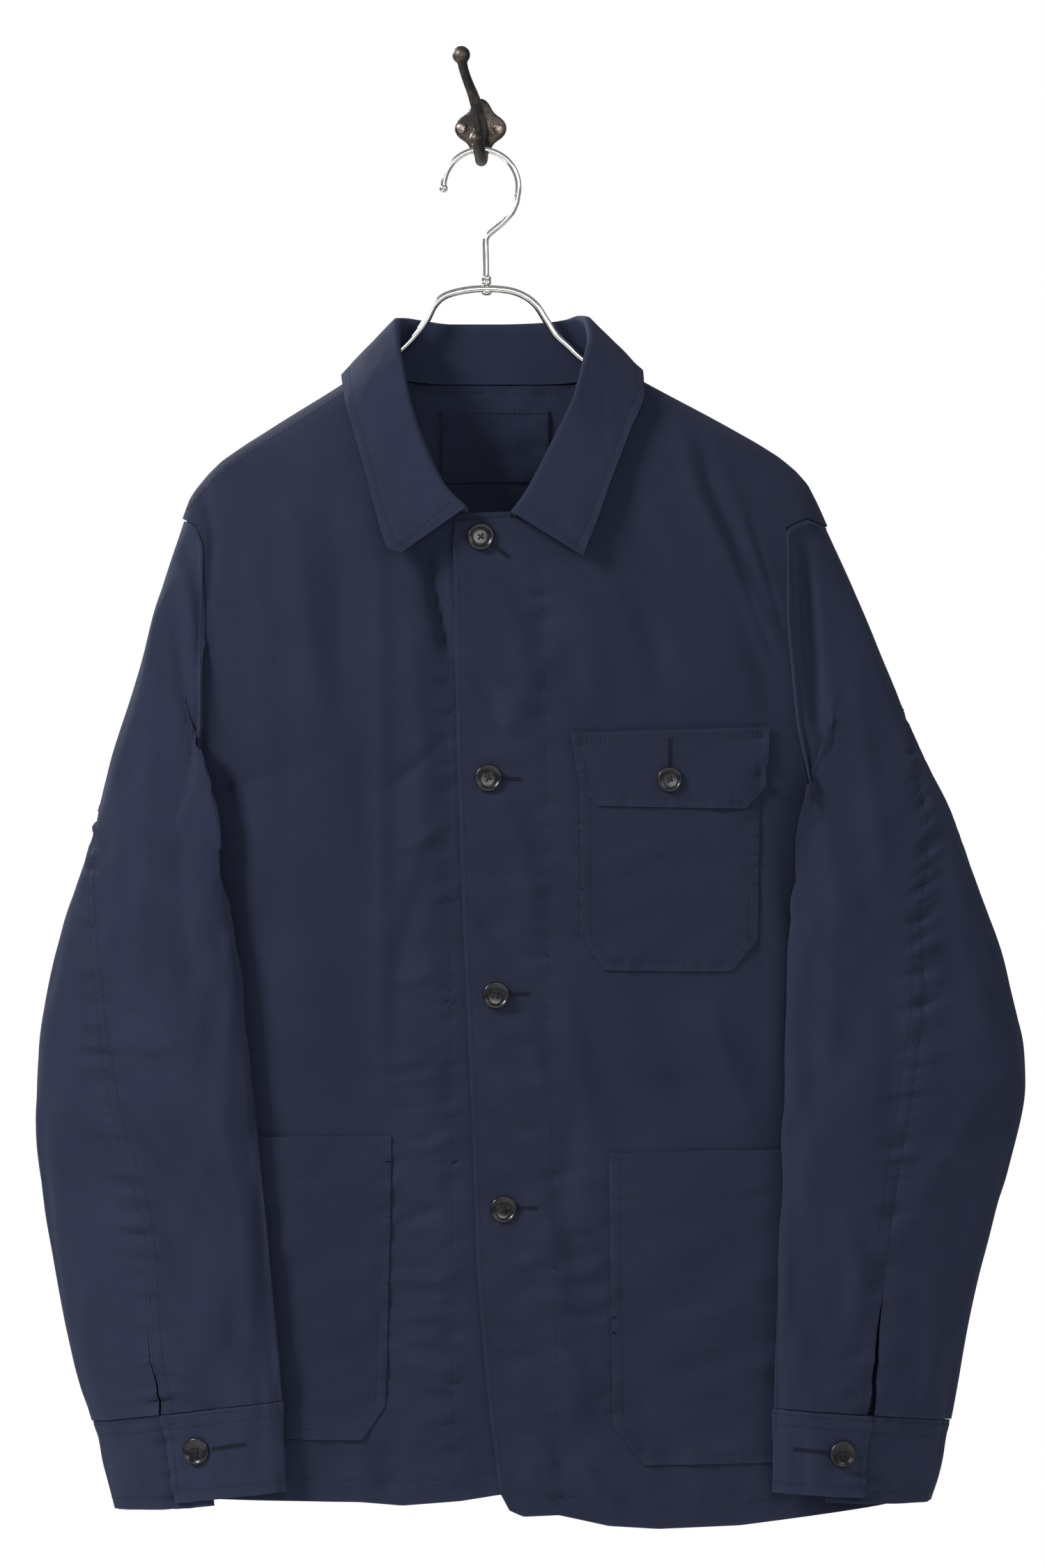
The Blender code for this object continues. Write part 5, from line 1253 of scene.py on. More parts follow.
def sleeve_cloth(side):
    """The sleeve's outer face with every fold, by its angle and its place down the sleeve."""
    plain = sleeve(side)
    elbow = square_to(plain, np.array([90.0]), np.array([5.0]), 1.0, 0.02)[0]
    facing = 1 if elbow[1] < 0 else -1

    def surface(angle, place):
        point = plain(angle, place)
        lift = sleeve_lift(side, angle, place)
        crease = CREASE_STRENGTH * relief(point[..., 0], -point[..., 2], SLEEVE_CREASES[side])
        lift = lift + crease * np.clip(np.sin(np.radians(angle)) * 2, 0, 1) * np.clip(place / 0.12, 0, 1)
        return point + square_to(plain, angle, place, 1.0, 0.02) * facing * lift[..., None]

    return surface


SLIT_START = 8.9  # ring where the cuff's slit opens in the elbow seam
SLIT_WIDTH = {"right": 0.7, "left": 2.2}  # degrees on each side of the seam, at the cuff
ARMHOLE_SQUARE_GAP = 1.0


def sleeve_gap(side, place):
    """Degrees from the elbow seam's middle to each piece's edge, wider at the cuff's slit."""
    return 0.06 + np.clip((place - SLIT_START) / (CUFF_RING - SLIT_START), 0, 1) * SLIT_WIDTH[side]


ALLOWANCE = 5.0
BELOW_RIDGE = 2.5
ALLOWANCE_DEPTH = CLOTH + 0.4


def seam_allowance(side, angle):
    """Two rows inside the armhole seam: past the body's cloth, and from there under it."""
    angle = np.mod(angle, 360)
    over_front = (angle <= 180)[:, None]
    rows = []
    for outwards in (-ALLOWANCE, 0.0):
        x, drop = armhole_edge(side, angle, outwards)
        drop = np.maximum(drop, ridge_drop(x) + BELOW_RIDGE)
        before = on_front(x, drop) - normals_of(on_front, x, drop, FORWARDS) * ALLOWANCE_DEPTH
        behind = on_back(x, drop) - normals_of(on_back, x, drop, BACKWARDS) * ALLOWANCE_DEPTH
        rows.append(np.where(over_front, before, behind))
    return np.array(rows)


def sleeve_shell(side, part, columns, rows):
    place = np.r_[np.linspace(0, 2, rows // 4)[:-1], np.linspace(2, CUFF_RING - 0.004, rows - rows // 4)]
    if part == "top":
        start, end = seam_angle(side, place) + sleeve_gap(side, place), np.full(rows - 1, INSEAM - 0.06)
    else:
        start = np.full(rows - 1, INSEAM + 0.06)
        end = 360 + seam_angle(side, place) - sleeve_gap(side, place)
    share = np.linspace(0, 1, columns)[None, :]
    angle = start[:, None] * (1 - share) + end[:, None] * share
    place = np.broadcast_to(place[:, None], angle.shape)
    base = sleeve_cloth(side)(angle, place)
    towards = base[base.shape[0] // 2, columns // 2] - sleeve(side)(
        np.linspace(0, 350, 36), np.full(36, place[base.shape[0] // 2, 0])).mean(0)
    base = np.concatenate([seam_allowance(side, angle[0]), base])
    made = shell("sleeve_%s_%s_piece" % (side, part), base, towards, -CLOTH, 0, NAVY_TWILL, "navy_twill")
    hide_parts("sleeve_%s_%s" % (side, part))
    return made


SLEEVE_FLAT = {
    ("right", "top"): ((0.19, 0.56), 0.062), ("right", "under"): ((0.22, 0.55), 0.088),
    ("left", "top"): ((0.18, 0.56), 0.060), ("left", "under"): ((0.24, 0.56), 0.103),
}
for side in ("right", "left"):
    for part, columns in (("top", 58), ("under", 44)):
        made = sleeve_shell(side, part, columns, 320)
        flat, area = SLEEVE_FLAT[side, part]
    cloth = sleeve_cloth(side)
    one_side, other_side, halfway = np.array([90.0]), np.array([270.0]), np.array([5.0])
    out = unit(cloth(one_side, halfway)[0] - cloth(other_side, halfway)[0])
    sign = 1 if np.dot(square_to(cloth, one_side, halfway, 1.0, 0.02)[0], out) > 0 else -1
    place = np.linspace(0.12, CUFF_RING - 0.05, 330)
    for off in (1.6, 7.0):
        for part in (place[place < SLIT_START], place[place >= SLIT_START]):
            angle = seam_angle(side, part) + off
            lifted = square_to(cloth, angle, part, 1.0, 0.02)
            stitch_lines.append(cloth(angle, part) + lifted * sign * 0.1)

# ------------------------------------------------------------------------------- the cuffs
# Two layers of the same twill, sewn round the sleeve's end and lapped over themselves at the
# slit, with a row of stitches along every edge. Each is closed by one button.

CUFF_WALL = 1.8
CUFF_LAP = 26.0  # degrees that the overlap lies over the underlap
CUFF_OUT = 1.4  # the overlap's end stands out this far
CUFF_IN = -2.2  # and the underlap's end lies this far in
UNDERLAP_DROP = 4.0  # the underlap hangs a little lower
CUFF_TURN = 0.13  # how far the lower stitches lie from the cuff's edge, as a share of its depth


def cuff_grid(side, share, place):
    """Angle round the sleeve and lift from it, at a share of the cuff's length."""
    start = seam_angle(side, place)
    angle = start + share * (360 + CUFF_LAP)
    return angle, CUFF_OUT + (CUFF_IN - CUFF_OUT) * share


def cuff_face(side):
    """The cuff's outer face, by its share of the way round and its place."""
    surface = sleeve_cloth(side)
    plain = sleeve(side)
    elbow = square_to(plain, np.array([90.0]), np.array([5.0]), 1.0, 0.02)[0]
    facing = 1 if elbow[1] < 0 else -1

    def face(share, place):
        angle, lift = cuff_grid(side, share, place)
        normal = square_to(plain, angle, place, 1.0, 0.02) * facing
        band = 0.35 * np.cos(np.clip((place - CUFF_RING - 0.08) / 0.08, -1, 1) * math.pi) * 0.5
        base = surface(angle, place) + normal * (lift + 0.3 + band)[..., None]
        base[..., 2] -= UNDERLAP_DROP * np.clip((share - 0.72) / 0.2, 0, 1) * (place - CUFF_RING)
        return base

    return face


for side in ("right", "left"):
    share, place = np.meshgrid(np.linspace(0, 1, 190), np.linspace(CUFF_RING + 0.004, LAST_RING, 30))
    face = cuff_face(side)
    base = face(share, place)
    inside = base[15].mean(0)
    made = shell("cuff_%s_band" % side, base, base[15, 95] - inside, -CUFF_WALL, 0, NAVY_TWILL, "navy_twill")
    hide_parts("cuff_" + side)
    length = np.linspace(0.005, 0.99, 240)
    rows = [(length, np.full(240, CUFF_RING + k)) for k in (0.05, 0.17, 1 - CUFF_TURN)]
    rows.append((np.full(30, 0.012), np.linspace(CUFF_RING + 0.06, LAST_RING - 0.06, 30)))
    for share, place in rows:
        step = face(share + 1e-3, place) - face(share - 1e-3, place)
        down = face(share, place + 1e-3) - face(share, place - 1e-3)
        normal = unit_rows(np.cross(step, down))
        outward = face(share, place) - inside
        normal = normal * np.sign(np.sum(normal * outward, -1, keepdims=True))
        stitch_lines.append(face(share, place) + normal * 0.1)

# ------------------------------------------------------------------------------ the collar
# One turned-down band of doubled twill: sewn to the neck, up as a stand, over the roll line
# and down as the fall that lies on both fronts, with a row of stitches inside its edge.

COLLAR = table(
    (
        "face", "neck_x", "neck_drop", "roll_x", "roll_drop", "roll_depth",
        "edge_x", "edge_drop", "edge_depth",
    ),
    (
        (1, -8, 254, -9.5, 251, 92, -51, 280, 92),
        (1, -26, 247, -22, 238, 88, -59, 277, 92),
        (1, -42, 232, -37, 208, 80, -67, 254, 88),
        (1, -56, 208, -44.6, 184, 71, -73.5, 230, 82),
        (1, -64, 180, -50, 160, 60, -81, 203, 70),
        (1, -65.5, 160, -53, 140, 47, -87, 182, 55),
        (0, -66, 152, -53, 127, 34, -90, 163, 30),
        (-1, -62, 157.5, -48, 126.5, 25, -80, 170, 12),
        (-1, -50, 166, -36, 128, 20.5, -60, 176, 9),
        (-1, -20, 169, -18, 130, 18.5, -25, 178, 8),
        (-1, 10, 169, 12, 130, 18, 12, 178.5, 8),
        (-1, 40, 169, 41, 129, 18.5, 48, 178, 8),
        (-1, 65, 167, 56, 127, 20.5, 76, 176, 9),
        (-1, 76, 157.5, 63, 125, 25, 96, 168, 12),
        (0, 80, 152, 68, 126, 34, 105, 160, 30),
        (1, 80, 160, 71, 138, 47, 106, 176, 55),
        (1, 79, 180, 67, 156, 60, 97, 200, 70),
        (1, 72, 207, 61, 178, 71, 84, 234, 82),
        (1, 58, 232, 47, 208, 80, 75, 260, 88),
        (1, 42, 248, 31, 239, 88, 68.5, 276, 92),
        (1, 22, 257, 21, 254, 92, 66.6, 282, 92),
    ),
)
COLLAR_WALL = 1.8
COLLAR_ROLL = 2.1
COLLAR_SEAM = 0.8
NECK_HOLE = {1: (8, 190), 0: (8, 185), -1: (8, 145)}  # what the neck edge faces, in x and drop
COLLAR_LIFT = 2.2
ROLL_STEPS = 8
STAND_STEPS = 12
FALL_STEPS = 26
COLLAR_STITCH = 7.0


def station(values, seam_way):
    """The collar's section at one station: neck seam, up the stand, round the roll, down."""
    face, neck_x, neck_drop, roll_x, roll_drop, roll_depth, edge_x, edge_drop, edge_depth = values
    into_hole = np.array(NECK_HOLE[int(face)]) - (neck_x, neck_drop)
    square = np.array((-seam_way[1], seam_way[0])) if face else into_hole * (1, 0)
    square = unit(square) * COLLAR_SEAM * (1 if np.dot(square, into_hole) > 0 else -1)
    neck_x, neck_drop = neck_x + square[0], neck_drop + square[1]
    depth = back_depth if face < 0 else front_depth
    if abs(face) < 0.5:
        neck_depth = RIDGE_DEPTH
    else:
        neck_depth = float(depth(np.array(neck_x), np.array(neck_drop))) - face * CLOTH / 2
    seam = np.array((neck_x, -neck_depth, -neck_drop))
    crest = np.array((roll_x, -roll_depth, -roll_drop))
    edge = np.array((edge_x, -edge_depth, -edge_drop))
    if abs(face) > 0.5:
        resting = float(depth(np.array(edge_x), np.array(edge_drop))) + face * COLLAR_LIFT
        edge[1] = -(max(edge_depth, resting) if face > 0 else min(edge_depth, resting))
    downwards = unit(unit(seam - crest) + unit(edge - crest))
    middle = crest + downwards * COLLAR_ROLL
    to_seam, to_edge = unit(seam - middle), unit(edge - middle)
    aside = unit((edge - seam) - downwards * np.dot(edge - seam, downwards))
    from_stand = unit(-aside - to_seam * np.dot(-aside, to_seam))
    from_fall = unit(aside - to_edge * np.dot(aside, to_edge))
    stand_top = middle + from_stand * COLLAR_ROLL
    fall_top = middle + from_fall * COLLAR_ROLL
    points = [seam + (stand_top - seam) * k / STAND_STEPS for k in range(STAND_STEPS)]
    for k in range(ROLL_STEPS + 1):
        turn = np.pi * k / ROLL_STEPS
        direction = from_stand * (1 + np.cos(turn)) / 2 + from_fall * (1 - np.cos(turn)) / 2
        direction = direction - downwards * np.sin(turn) * 0.9
        points.append(middle + unit(direction) * COLLAR_ROLL)
    for k in range(1, FALL_STEPS + 1):
        points.append(fall_top + (edge - fall_top) * k / FALL_STEPS)
    return np.array(points)


def lie_on_panels(points, faces):
    """Pushes the fall out to where it clears the panel below it."""
    x, drop, depth = points[..., 0], -points[..., 2], -points[..., 1]
    below = drop > ridge_drop(x) - 1
    least = -on_front(x, drop)[..., 1] + COLLAR_LIFT
    most = back_depth(x, drop) - COLLAR_LIFT
    face = faces[:, None]
    fall = np.arange(points.shape[1])[None, :] > STAND_STEPS + ROLL_STEPS
    depth = np.where((face > 0.3) & below & fall, np.maximum(depth, least), depth)
    depth = np.where((face < -0.3) & below & fall, np.minimum(depth, most), depth)
    return np.stack([x, -depth, -drop], -1)


knots = np.arange(len(COLLAR["face"]))
seam_ways = np.stack([np.gradient(COLLAR["neck_x"]), np.gradient(COLLAR["neck_drop"])], -1)
sections = np.array([station([values[i] for values in COLLAR.values()], seam_ways[i]) for i in knots])
at = np.linspace(0, knots[-1], 260)
flat = sections.reshape(len(knots), -1)
collar_points = np.stack([through(at, knots, column) for column in flat.T], -1).reshape(len(at), -1, 3)
collar_points = lie_on_panels(collar_points, np.interp(at, knots, COLLAR["face"]))
collar_normal = unit_rows(np.cross(np.gradient(collar_points, axis=0), np.gradient(collar_points, axis=1)))
ripples = 0.35 * noise(at[:, None] * 2.3, np.arange(collar_points.shape[1])[None, :] / 6.0, 31)
to_edge = collar_points - collar_points[:, -1:]
to_edge = np.linalg.norm(to_edge, axis=-1)
ripples = ripples - 0.35 * np.exp(-(((to_edge - COLLAR_STITCH) / 1.4) ** 2))
on_fall = np.arange(collar_points.shape[1]) > STAND_STEPS + ROLL_STEPS
collar_points = collar_points + collar_normal * (ripples * on_fall)[..., None]
collar = shell("collar_band", collar_points, collar_normal[130, 24], -COLLAR_WALL / 2, COLLAR_WALL / 2,
               NAVY_TWILL, "navy_twill")
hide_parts("collar")
fall_side = -np.sign(collar_normal[10, -6][1])
edge_line = []
for row, normal in zip(collar_points, collar_normal):
    away = np.linalg.norm(row - row[-1], axis=-1)
    t = np.interp(-COLLAR_STITCH, -away[STAND_STEPS + ROLL_STEPS:],
                  np.arange(STAND_STEPS + ROLL_STEPS, len(row)))
    i = int(t)
    point = row[i] + (row[min(i + 1, len(row) - 1)] - row[i]) * (t - i)
    edge_line.append(point + normal[i] * fall_side * (COLLAR_WALL / 2 + 0.1))
stitch_lines.append(np.array(edge_line))
for row, normal in ((collar_points[7], collar_normal[7]), (collar_points[-8], collar_normal[-8])):
    part = slice(STAND_STEPS + ROLL_STEPS + 2, -3)
    stitch_lines.append(row[part] + normal[part] * fall_side * (COLLAR_WALL / 2 + 0.1))

# ------------------------------------------------------------------- the pockets and the flap
# Patch pockets with cut-off lower corners, turned in all round and sewn on with two rows of
# stitches. The two lower ones have deep hems; the chest pocket is closed by a buttoned flap.

PATCH_WALL = 1.0


def patch_ripple(run, away, seed):
    """Ripples and narrow tucks along a patch's sewn edge."""
    crossing = noise(run / 7.5, away / 40, 80 + seed)
    tuck = np.exp(-((crossing / 0.16) ** 2))
    return (0.7 * noise(run / 7.0, away / 16, 60 + seed) - 0.9 * tuck + 0.3) * np.exp(-((away / 8.5) ** 2))


def patch_swell(x, drop, away, seed):
    """Soft uneven swelling of a patch's middle, with a few slanting drag wrinkles."""
    lean = (x * 0.35 + drop) / 15
    soft = 0.7 * noise(x / 30, drop / 22, 70 + seed) + 0.7 * noise(x / 52, lean, 90 + seed)
    return (soft + 0.4) * np.clip(away / 14, 0, 1)


PATCH_ROWS = (1.6, 6.4)  # how far the two rows of stitches lie from a patch's edge
PATCH_RIDGE, RIDGE_FADE = 0.25, 1.4  # the turned-in edge stands out by this, and fades inwards
ROW_GROOVE, GROOVE_FADE = 0.3, 1.2  # each row of stitches pulls the cloth in
PATCH_STITCH_LIFT = 0.05


def patch_shell(name, node_name, surface, outward, top, bottom, left, right, low, size, edges, hem,
                mouth=0.0, finish=None, seed=0):
    """A patch of cloth made from the panel's points moved out, its edges turned in.

    It gives back the patch's outer face, as a function of x and drop, for its stitches.
    """
    u, v = np.linspace(0, 1, size[0]), np.linspace(0, 1, size[1])
    x, drop = panel_grid(top, bottom, left, right, u, v)
    outline = np.concatenate([left, np.asarray(bottom)[1:-1], np.asarray(right)[::-1]])
    away, reached, _ = nearest_on(x, drop, outline)
    from_hem = nearest_on(x, drop, hem)[0] if hem else np.full(x.shape, 99.0)
    band = PATCH_RIDGE * np.clip(1 - (away - edges) / RIDGE_FADE, 0, 1)
    groove = ROW_GROOVE * np.exp(-((away - edges) / GROOVE_FADE) ** 2)
    groove = groove + ROW_GROOVE * np.exp(-(from_hem / GROOVE_FADE) ** 2)
    ripple = patch_ripple(reached, away, seed)
    soft = patch_swell(x, drop, away, seed)
    stand_off = mouth * np.sin(np.pi * u)[None, :] * (1 - v)[:, None] ** 2
    lift = low + PATCH_WALL + band - groove + np.maximum(ripple + soft, -0.2) + stand_off

    normal = normals_of(surface, x, drop, outward)
    base = surface(x, drop) + normal * lift[..., None]
    # Unless another finish is given, the patch takes the darker copy of the twill; its extra darkness is
    # painted shade.
    made = shell(name, base, outward, -PATCH_WALL, 0, finish or NAVY_PATCH_PAINTED_SHADE, "navy_patch")
    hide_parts(node_name)

    def top_face(px, pdrop):
        near, run, _ = nearest_on(px, pdrop, outline)
        bump = patch_ripple(run, near, seed) + patch_swell(px, pdrop, near, seed)
        rise = low + PATCH_WALL + PATCH_STITCH_LIFT + np.maximum(bump, -0.2)
        return surface(px, pdrop) + normals_of(surface, px, pdrop, outward) * rise[..., None]

    return top_face


# The cloth of the pockets, the flap and the neck patch is the navy twill made darker still: painted shade,
# like the fronts' cloth.
NAVY_PATCH_PAINTED_SHADE = navy_cloth("navy_patch", (0.0098, 0.0127, 0.0292), (0.0222, 0.0283, 0.0540), 0.0007, 0.00008)


def inner_line(line, centre, amount):
    """An outline moved in towards its middle by an amount."""
    line = np.asarray(line, float)
    forward = np.gradient(line, axis=0)
    square = unit_rows(np.stack([forward[:, 1], -forward[:, 0]], -1))
    towards = np.sign(np.sum(square * (np.asarray(centre) - line), -1, keepdims=True))
    return line + square * towards * amount


CHEST_OUTLINE = ((64, 401), (65, 526), (80, 549), (162, 550), (179, 530), (181, 398))
chest_face = patch_shell(
    "chest_pocket_patch", "chest_pocket", on_front, FORWARDS,
    top=((64, 401), (181, 398)), bottom=((65, 526), (80, 549), (162, 550), (179, 530)),
    left=((64, 401), (65, 526)), right=((181, 398), (179, 530)), low=0.1, size=(60, 92),
    edges=PATCH_ROWS[1], hem=None, seed=1,
)
RIGHT_OUTLINE = ((-183, 657), (-183, 832), (-168, 851), (-76, 852), (-61, 830), (-57, 656))
right_pocket_face = patch_shell(
    "pocket_right_patch", "pocket_right", right_face, FORWARDS,
    top=((-183, 657), (-57, 656)), bottom=((-183, 832), (-168, 851), (-76, 852), (-61, 830)),
    left=((-183, 657), (-183, 832)), right=((-57, 656), (-61, 830)), low=0.1, size=(56, 106),
    edges=PATCH_ROWS[1], hem=((-183, 685), (-58, 684)),
    mouth=1.2, seed=2,
)
LEFT_OUTLINE = ((83, 667), (85.5, 843), (106, 868), (226, 866), (244, 842), (243, 664))
left_pocket_face = patch_shell(
    "pocket_left_patch", "pocket_left", on_front, FORWARDS,
    top=((83, 667), (243, 664)), bottom=((85.5, 843), (106, 868), (226, 866), (244, 842)),
    left=((83, 667), (85.5, 843)), right=((243, 664), (244, 842)), low=0.1, size=(70, 108),
    edges=PATCH_ROWS[1], hem=((84, 696), (243, 693)), mouth=1.2, seed=3,
)
for outline, face, hem_line in (
    (CHEST_OUTLINE, chest_face, None), (RIGHT_OUTLINE, right_pocket_face, ((-181, 685), (-59, 684))),
    (LEFT_OUTLINE, left_pocket_face, ((86, 696), (241, 693))),
):
    centre = np.mean(outline, axis=0)
    for amount in PATCH_ROWS:
        stitch(face, inner_line(outline, centre, amount), FORWARDS, PATCH_STITCH_LIFT)
    if hem_line:
        stitch(face, hem_line, FORWARDS, PATCH_STITCH_LIFT)

FLAP_OUTLINE = ((58, 396), (64, 431), (76, 443), (171, 445), (184, 431), (187, 392))
flap_face = patch_shell(
    "chest_flap_patch", "chest_flap", on_front, FORWARDS,
    top=((58, 396), (187, 392)), bottom=((64, 431), (76, 443), (171, 445), (184, 431)),
    left=((58, 396), (64, 431)), right=((187, 392), (184, 431)),
    low=0.5 + PATCH_WALL, size=(80, 34), edges=5.4, hem=None, seed=4,
)
stitch(flap_face, inner_line(FLAP_OUTLINE, (122, 415), 5.4), FORWARDS, PATCH_STITCH_LIFT)
stitch(flap_face, ((60, 399), (186, 395)), FORWARDS, PATCH_STITCH_LIFT)
stitch(flap_face, ((60, 401.5), (186, 397.5)), FORWARDS, PATCH_STITCH_LIFT)

# --------------------------------------------------------------------------- the neck patch
# A plain rectangle of the same cloth, turned in all round and stitched inside the back,
# below the neck seam. Its face looks forwards.

NECK_PATCH_LOW = -CLOTH - LAYER_STEP - 2 * PATCH_WALL - 0.2  # from the back's outer face
patch_shell(
    "neck_patch_cloth", "neck_patch", on_back, (0, 1, 0.001),
    top=((-25, 185), (44, 185)), bottom=((-25, 232), (44, 232)),
    left=((-25, 185), (-25, 232)), right=((44, 185), (44, 232)),
    low=NECK_PATCH_LOW, size=(40, 28), edges=2.0, hem=None,
    seed=5,
)


def neck_inside(x, drop):
    """The neck patch's face, where its stitches lie."""
    return on_back(x, drop) + normals_of(on_back, x, drop, BACKWARDS) * NECK_PATCH_LOW


stitch(neck_inside, ((-23, 230), (-23, 187), (42, 187), (42, 230), (-23, 230)),
       (0, -1, 0.001), PATCH_STITCH_LIFT)

# ---------------------------------------------------------------------------- the buttons
# Black buttons with a rounded rim, a shallow dish and four holes: four down the front, one on
# the flap and one on each cuff, each sewn on with two crossing strands of navy thread.

BUTTON_PROFILE = ((7.2, 0.0), (8.3, 0.35), (8.8, 1.2), (8.75, 1.9), (8.35, 2.6), (7.8, 2.9), (7.25, 2.85),
                  (6.8, 2.5), (6.3, 2.15), (4.0, 1.95), (0.3, 1.9))
HOLE_AWAY = 1.75
HOLE_RADIUS = 0.72
BLACK_BUTTON, button_tree, button_shader = new_material("black_button", 0.22, 0.0, 0.38)
where = button_tree.nodes.new("ShaderNodeTexCoord")
smears = node(button_tree, "ShaderNodeGroup", {"node_tree": rubbing}, Vector=where.outputs["Object"],
              Patch_Scale=260.0, Grain_Scale=2400.0)
tint = node(button_tree, "ShaderNodeMix", {"data_type": "RGBA"}, i0=smears.outputs["Rubbed"],
            i6=(0.004, 0.004, 0.005, 1), i7=(0.010, 0.010, 0.012, 1))
button_tree.links.new(tint.outputs[2], button_shader.inputs["Base Color"])
dull = node(button_tree, "ShaderNodeMapRange", Value=smears.outputs["Rubbed"], To_Min=0.16, To_Max=0.34)
button_tree.links.new(dull.outputs["Result"], button_shader.inputs["Roughness"])
NAVY_THREAD, thread_tree, thread_shader = new_material("navy_thread", 0.6, 0.0, 0.3)
where = thread_tree.nodes.new("ShaderNodeTexCoord")
fibres = node(thread_tree, "ShaderNodeTexNoise", Vector=where.outputs["Object"], Scale=2500.0, Detail=2.0)
thread_tone = node(thread_tree, "ShaderNodeMix", {"data_type": "RGBA"}, i0=fibres.outputs["Fac"],
                   i6=(0.004, 0.005, 0.013, 1), i7=(0.012, 0.014, 0.028, 1))
thread_tree.links.new(thread_tone.outputs[2], thread_shader.inputs["Base Color"])
thread_bump = node(thread_tree, "ShaderNodeBump", Strength=0.5, Distance=0.00005,
                   Height=fibres.outputs["Fac"])
thread_tree.links.new(thread_bump.outputs["Normal"], thread_shader.inputs["Normal"])


def thread_tube(points, radius, sides=6):
    """Rings round a strand through the points."""
    points = np.asarray(points, float)
    heading = unit_rows(np.gradient(points, axis=0))
    helper = np.array((0.31, 0.52, 0.8))
    aside = unit_rows(np.cross(heading, helper))
    level = np.cross(aside, heading)
    turn = np.arange(sides) * 2 * np.pi / sides
    return [points[i] + radius * (np.cos(turn)[:, None] * aside[i] + np.sin(turn)[:, None] * level[i])
            for i in range(len(points))]


def add_button(name, at, normal, up, turned_by, size=1.0):
    """One button at a point, its face square to the normal, turned by some degrees."""
    at, axis = np.asarray(at, float), unit(np.asarray(normal, float))
    profile = [(radius * size, height * size) for radius, height in BUTTON_PROFILE]
    button = add_piece(name, *skin(turned_rings(profile, 56, at, axis)), BLACK_BUTTON, "black_button")
    aside = unit(np.cross(up, axis))
    level = np.cross(axis, aside)
    strands = []
    for k in range(4):
        turn = math.radians(turned_by + 45 + 90 * k)
        out = math.cos(turn) * aside + math.sin(turn) * level
        hole = at + out * HOLE_AWAY * size
        cutter_mesh = bpy.data.meshes.new("hole")
        drill = ((HOLE_RADIUS * size, -1), (HOLE_RADIUS * size, 4))
        points, faces = skin(turned_rings(drill, 14, hole, axis))
        cutter_mesh.from_pydata([tuple(p * METRES) for p in points], [], faces)
        work = bmesh.new()
        work.from_mesh(cutter_mesh)
        bmesh.ops.recalc_face_normals(work, faces=work.faces)
        work.to_mesh(cutter_mesh)
        work.free()
        cutter = bpy.data.objects.new("hole", cutter_mesh)
        bpy.context.scene.collection.objects.link(cutter)
        cut = button.modifiers.new("hole", "BOOLEAN")
        cut.object = cutter
        cut.solver = "EXACT"
        settled(button)
        bpy.data.objects.remove(cutter)
        if k < 2:
            for shift in (-0.28, 0.28):
                beside = np.cross(out, axis) * shift * size
                arch = [at + beside + out * HOLE_AWAY * size * s + axis * (h * size)
                        for s, h in ((1.05, 0.2), (1.04, 1.4), (0.92, 2.25), (0.5, 2.5 + 0.25 * k),
                                     (0, 2.6 + 0.3 * k), (-0.5, 2.5 + 0.25 * k), (-0.92, 2.25),
                                     (-1.04, 1.4), (-1.05, 0.2))]
                strands.append(thread_tube(smoothed(arch, 17), 0.27 * size))
    button.data.shade_smooth()
    button.data.set_sharp_from_angle(angle=math.radians(40))
    points, faces = [], []
    for rings in strands:
        some_points, some_faces = skin(rings)
        faces += [tuple(len(points) + i for i in face) for face in some_faces]
        points += list(some_points)
    add_piece(name + "_thread", points, faces, NAVY_THREAD, "navy_twill")
    return button


BUTTON_LINE = table(("drop", "x"), ((269.5, 0.5), (425, 5.4), (565, 10.4), (703, 15.3)))
UP = np.array((0.0, 0.0, 1.0))
SEWN_TURN = (8, 20, -12, 4)


def flat_front(x, drop):
    """The front's plain form without creases, so that a button sits square to it."""
    return np.stack([x, -front_depth(x, drop), -drop], -1)


for number, (button_drop, button_x) in enumerate(zip(BUTTON_LINE["drop"], BUTTON_LINE["x"]), 1):
    at = (np.array([button_x]), np.array([button_drop]))
    normal = normals_of(flat_front, *at, FORWARDS)[0]
    button = add_button("button_front_%d_sewn" % number, on_front(*at)[0] + normal * 0.5, normal, UP,
                        SEWN_TURN[number - 1])
    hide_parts("button_front_%d" % number)
at = (np.array([122.0]), np.array([426.0]))
normal = normals_of(flat_front, *at, FORWARDS)[0]
button = add_button("button_flap_sewn", flap_face(*at)[0] + normal * 0.4, normal, UP, 14, 0.94)
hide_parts("button_flap")
CUFF_BUTTON_LAP = {"right": 0.050, "left": 0.045}  # share of the cuff's length from its end
for side in ("right", "left"):
    plain = sleeve(side)
    place = np.array([CUFF_RING + 0.45])
    angle, lift = cuff_grid(side, CUFF_BUTTON_LAP[side], place)
    outward = plain(angle, place) - plain(angle + 180, place)
    normal = normals_of(plain, angle, place, outward)[0]
    on_cuff = cuff_face(side)(np.array([CUFF_BUTTON_LAP[side]]), place)[0]
    button = add_button("button_cuff_%s_sewn" % side, on_cuff + normal * 0.5, normal, UP, 6)
    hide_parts("button_cuff_" + side)

# ------------------------------------------------------------------------- the buttonholes
# Each is a straight slit, oversewn all round with close zigzag thread, and runs from under its
# button: level on the fronts and cuffs, slanting at the neck and upright on the flap.

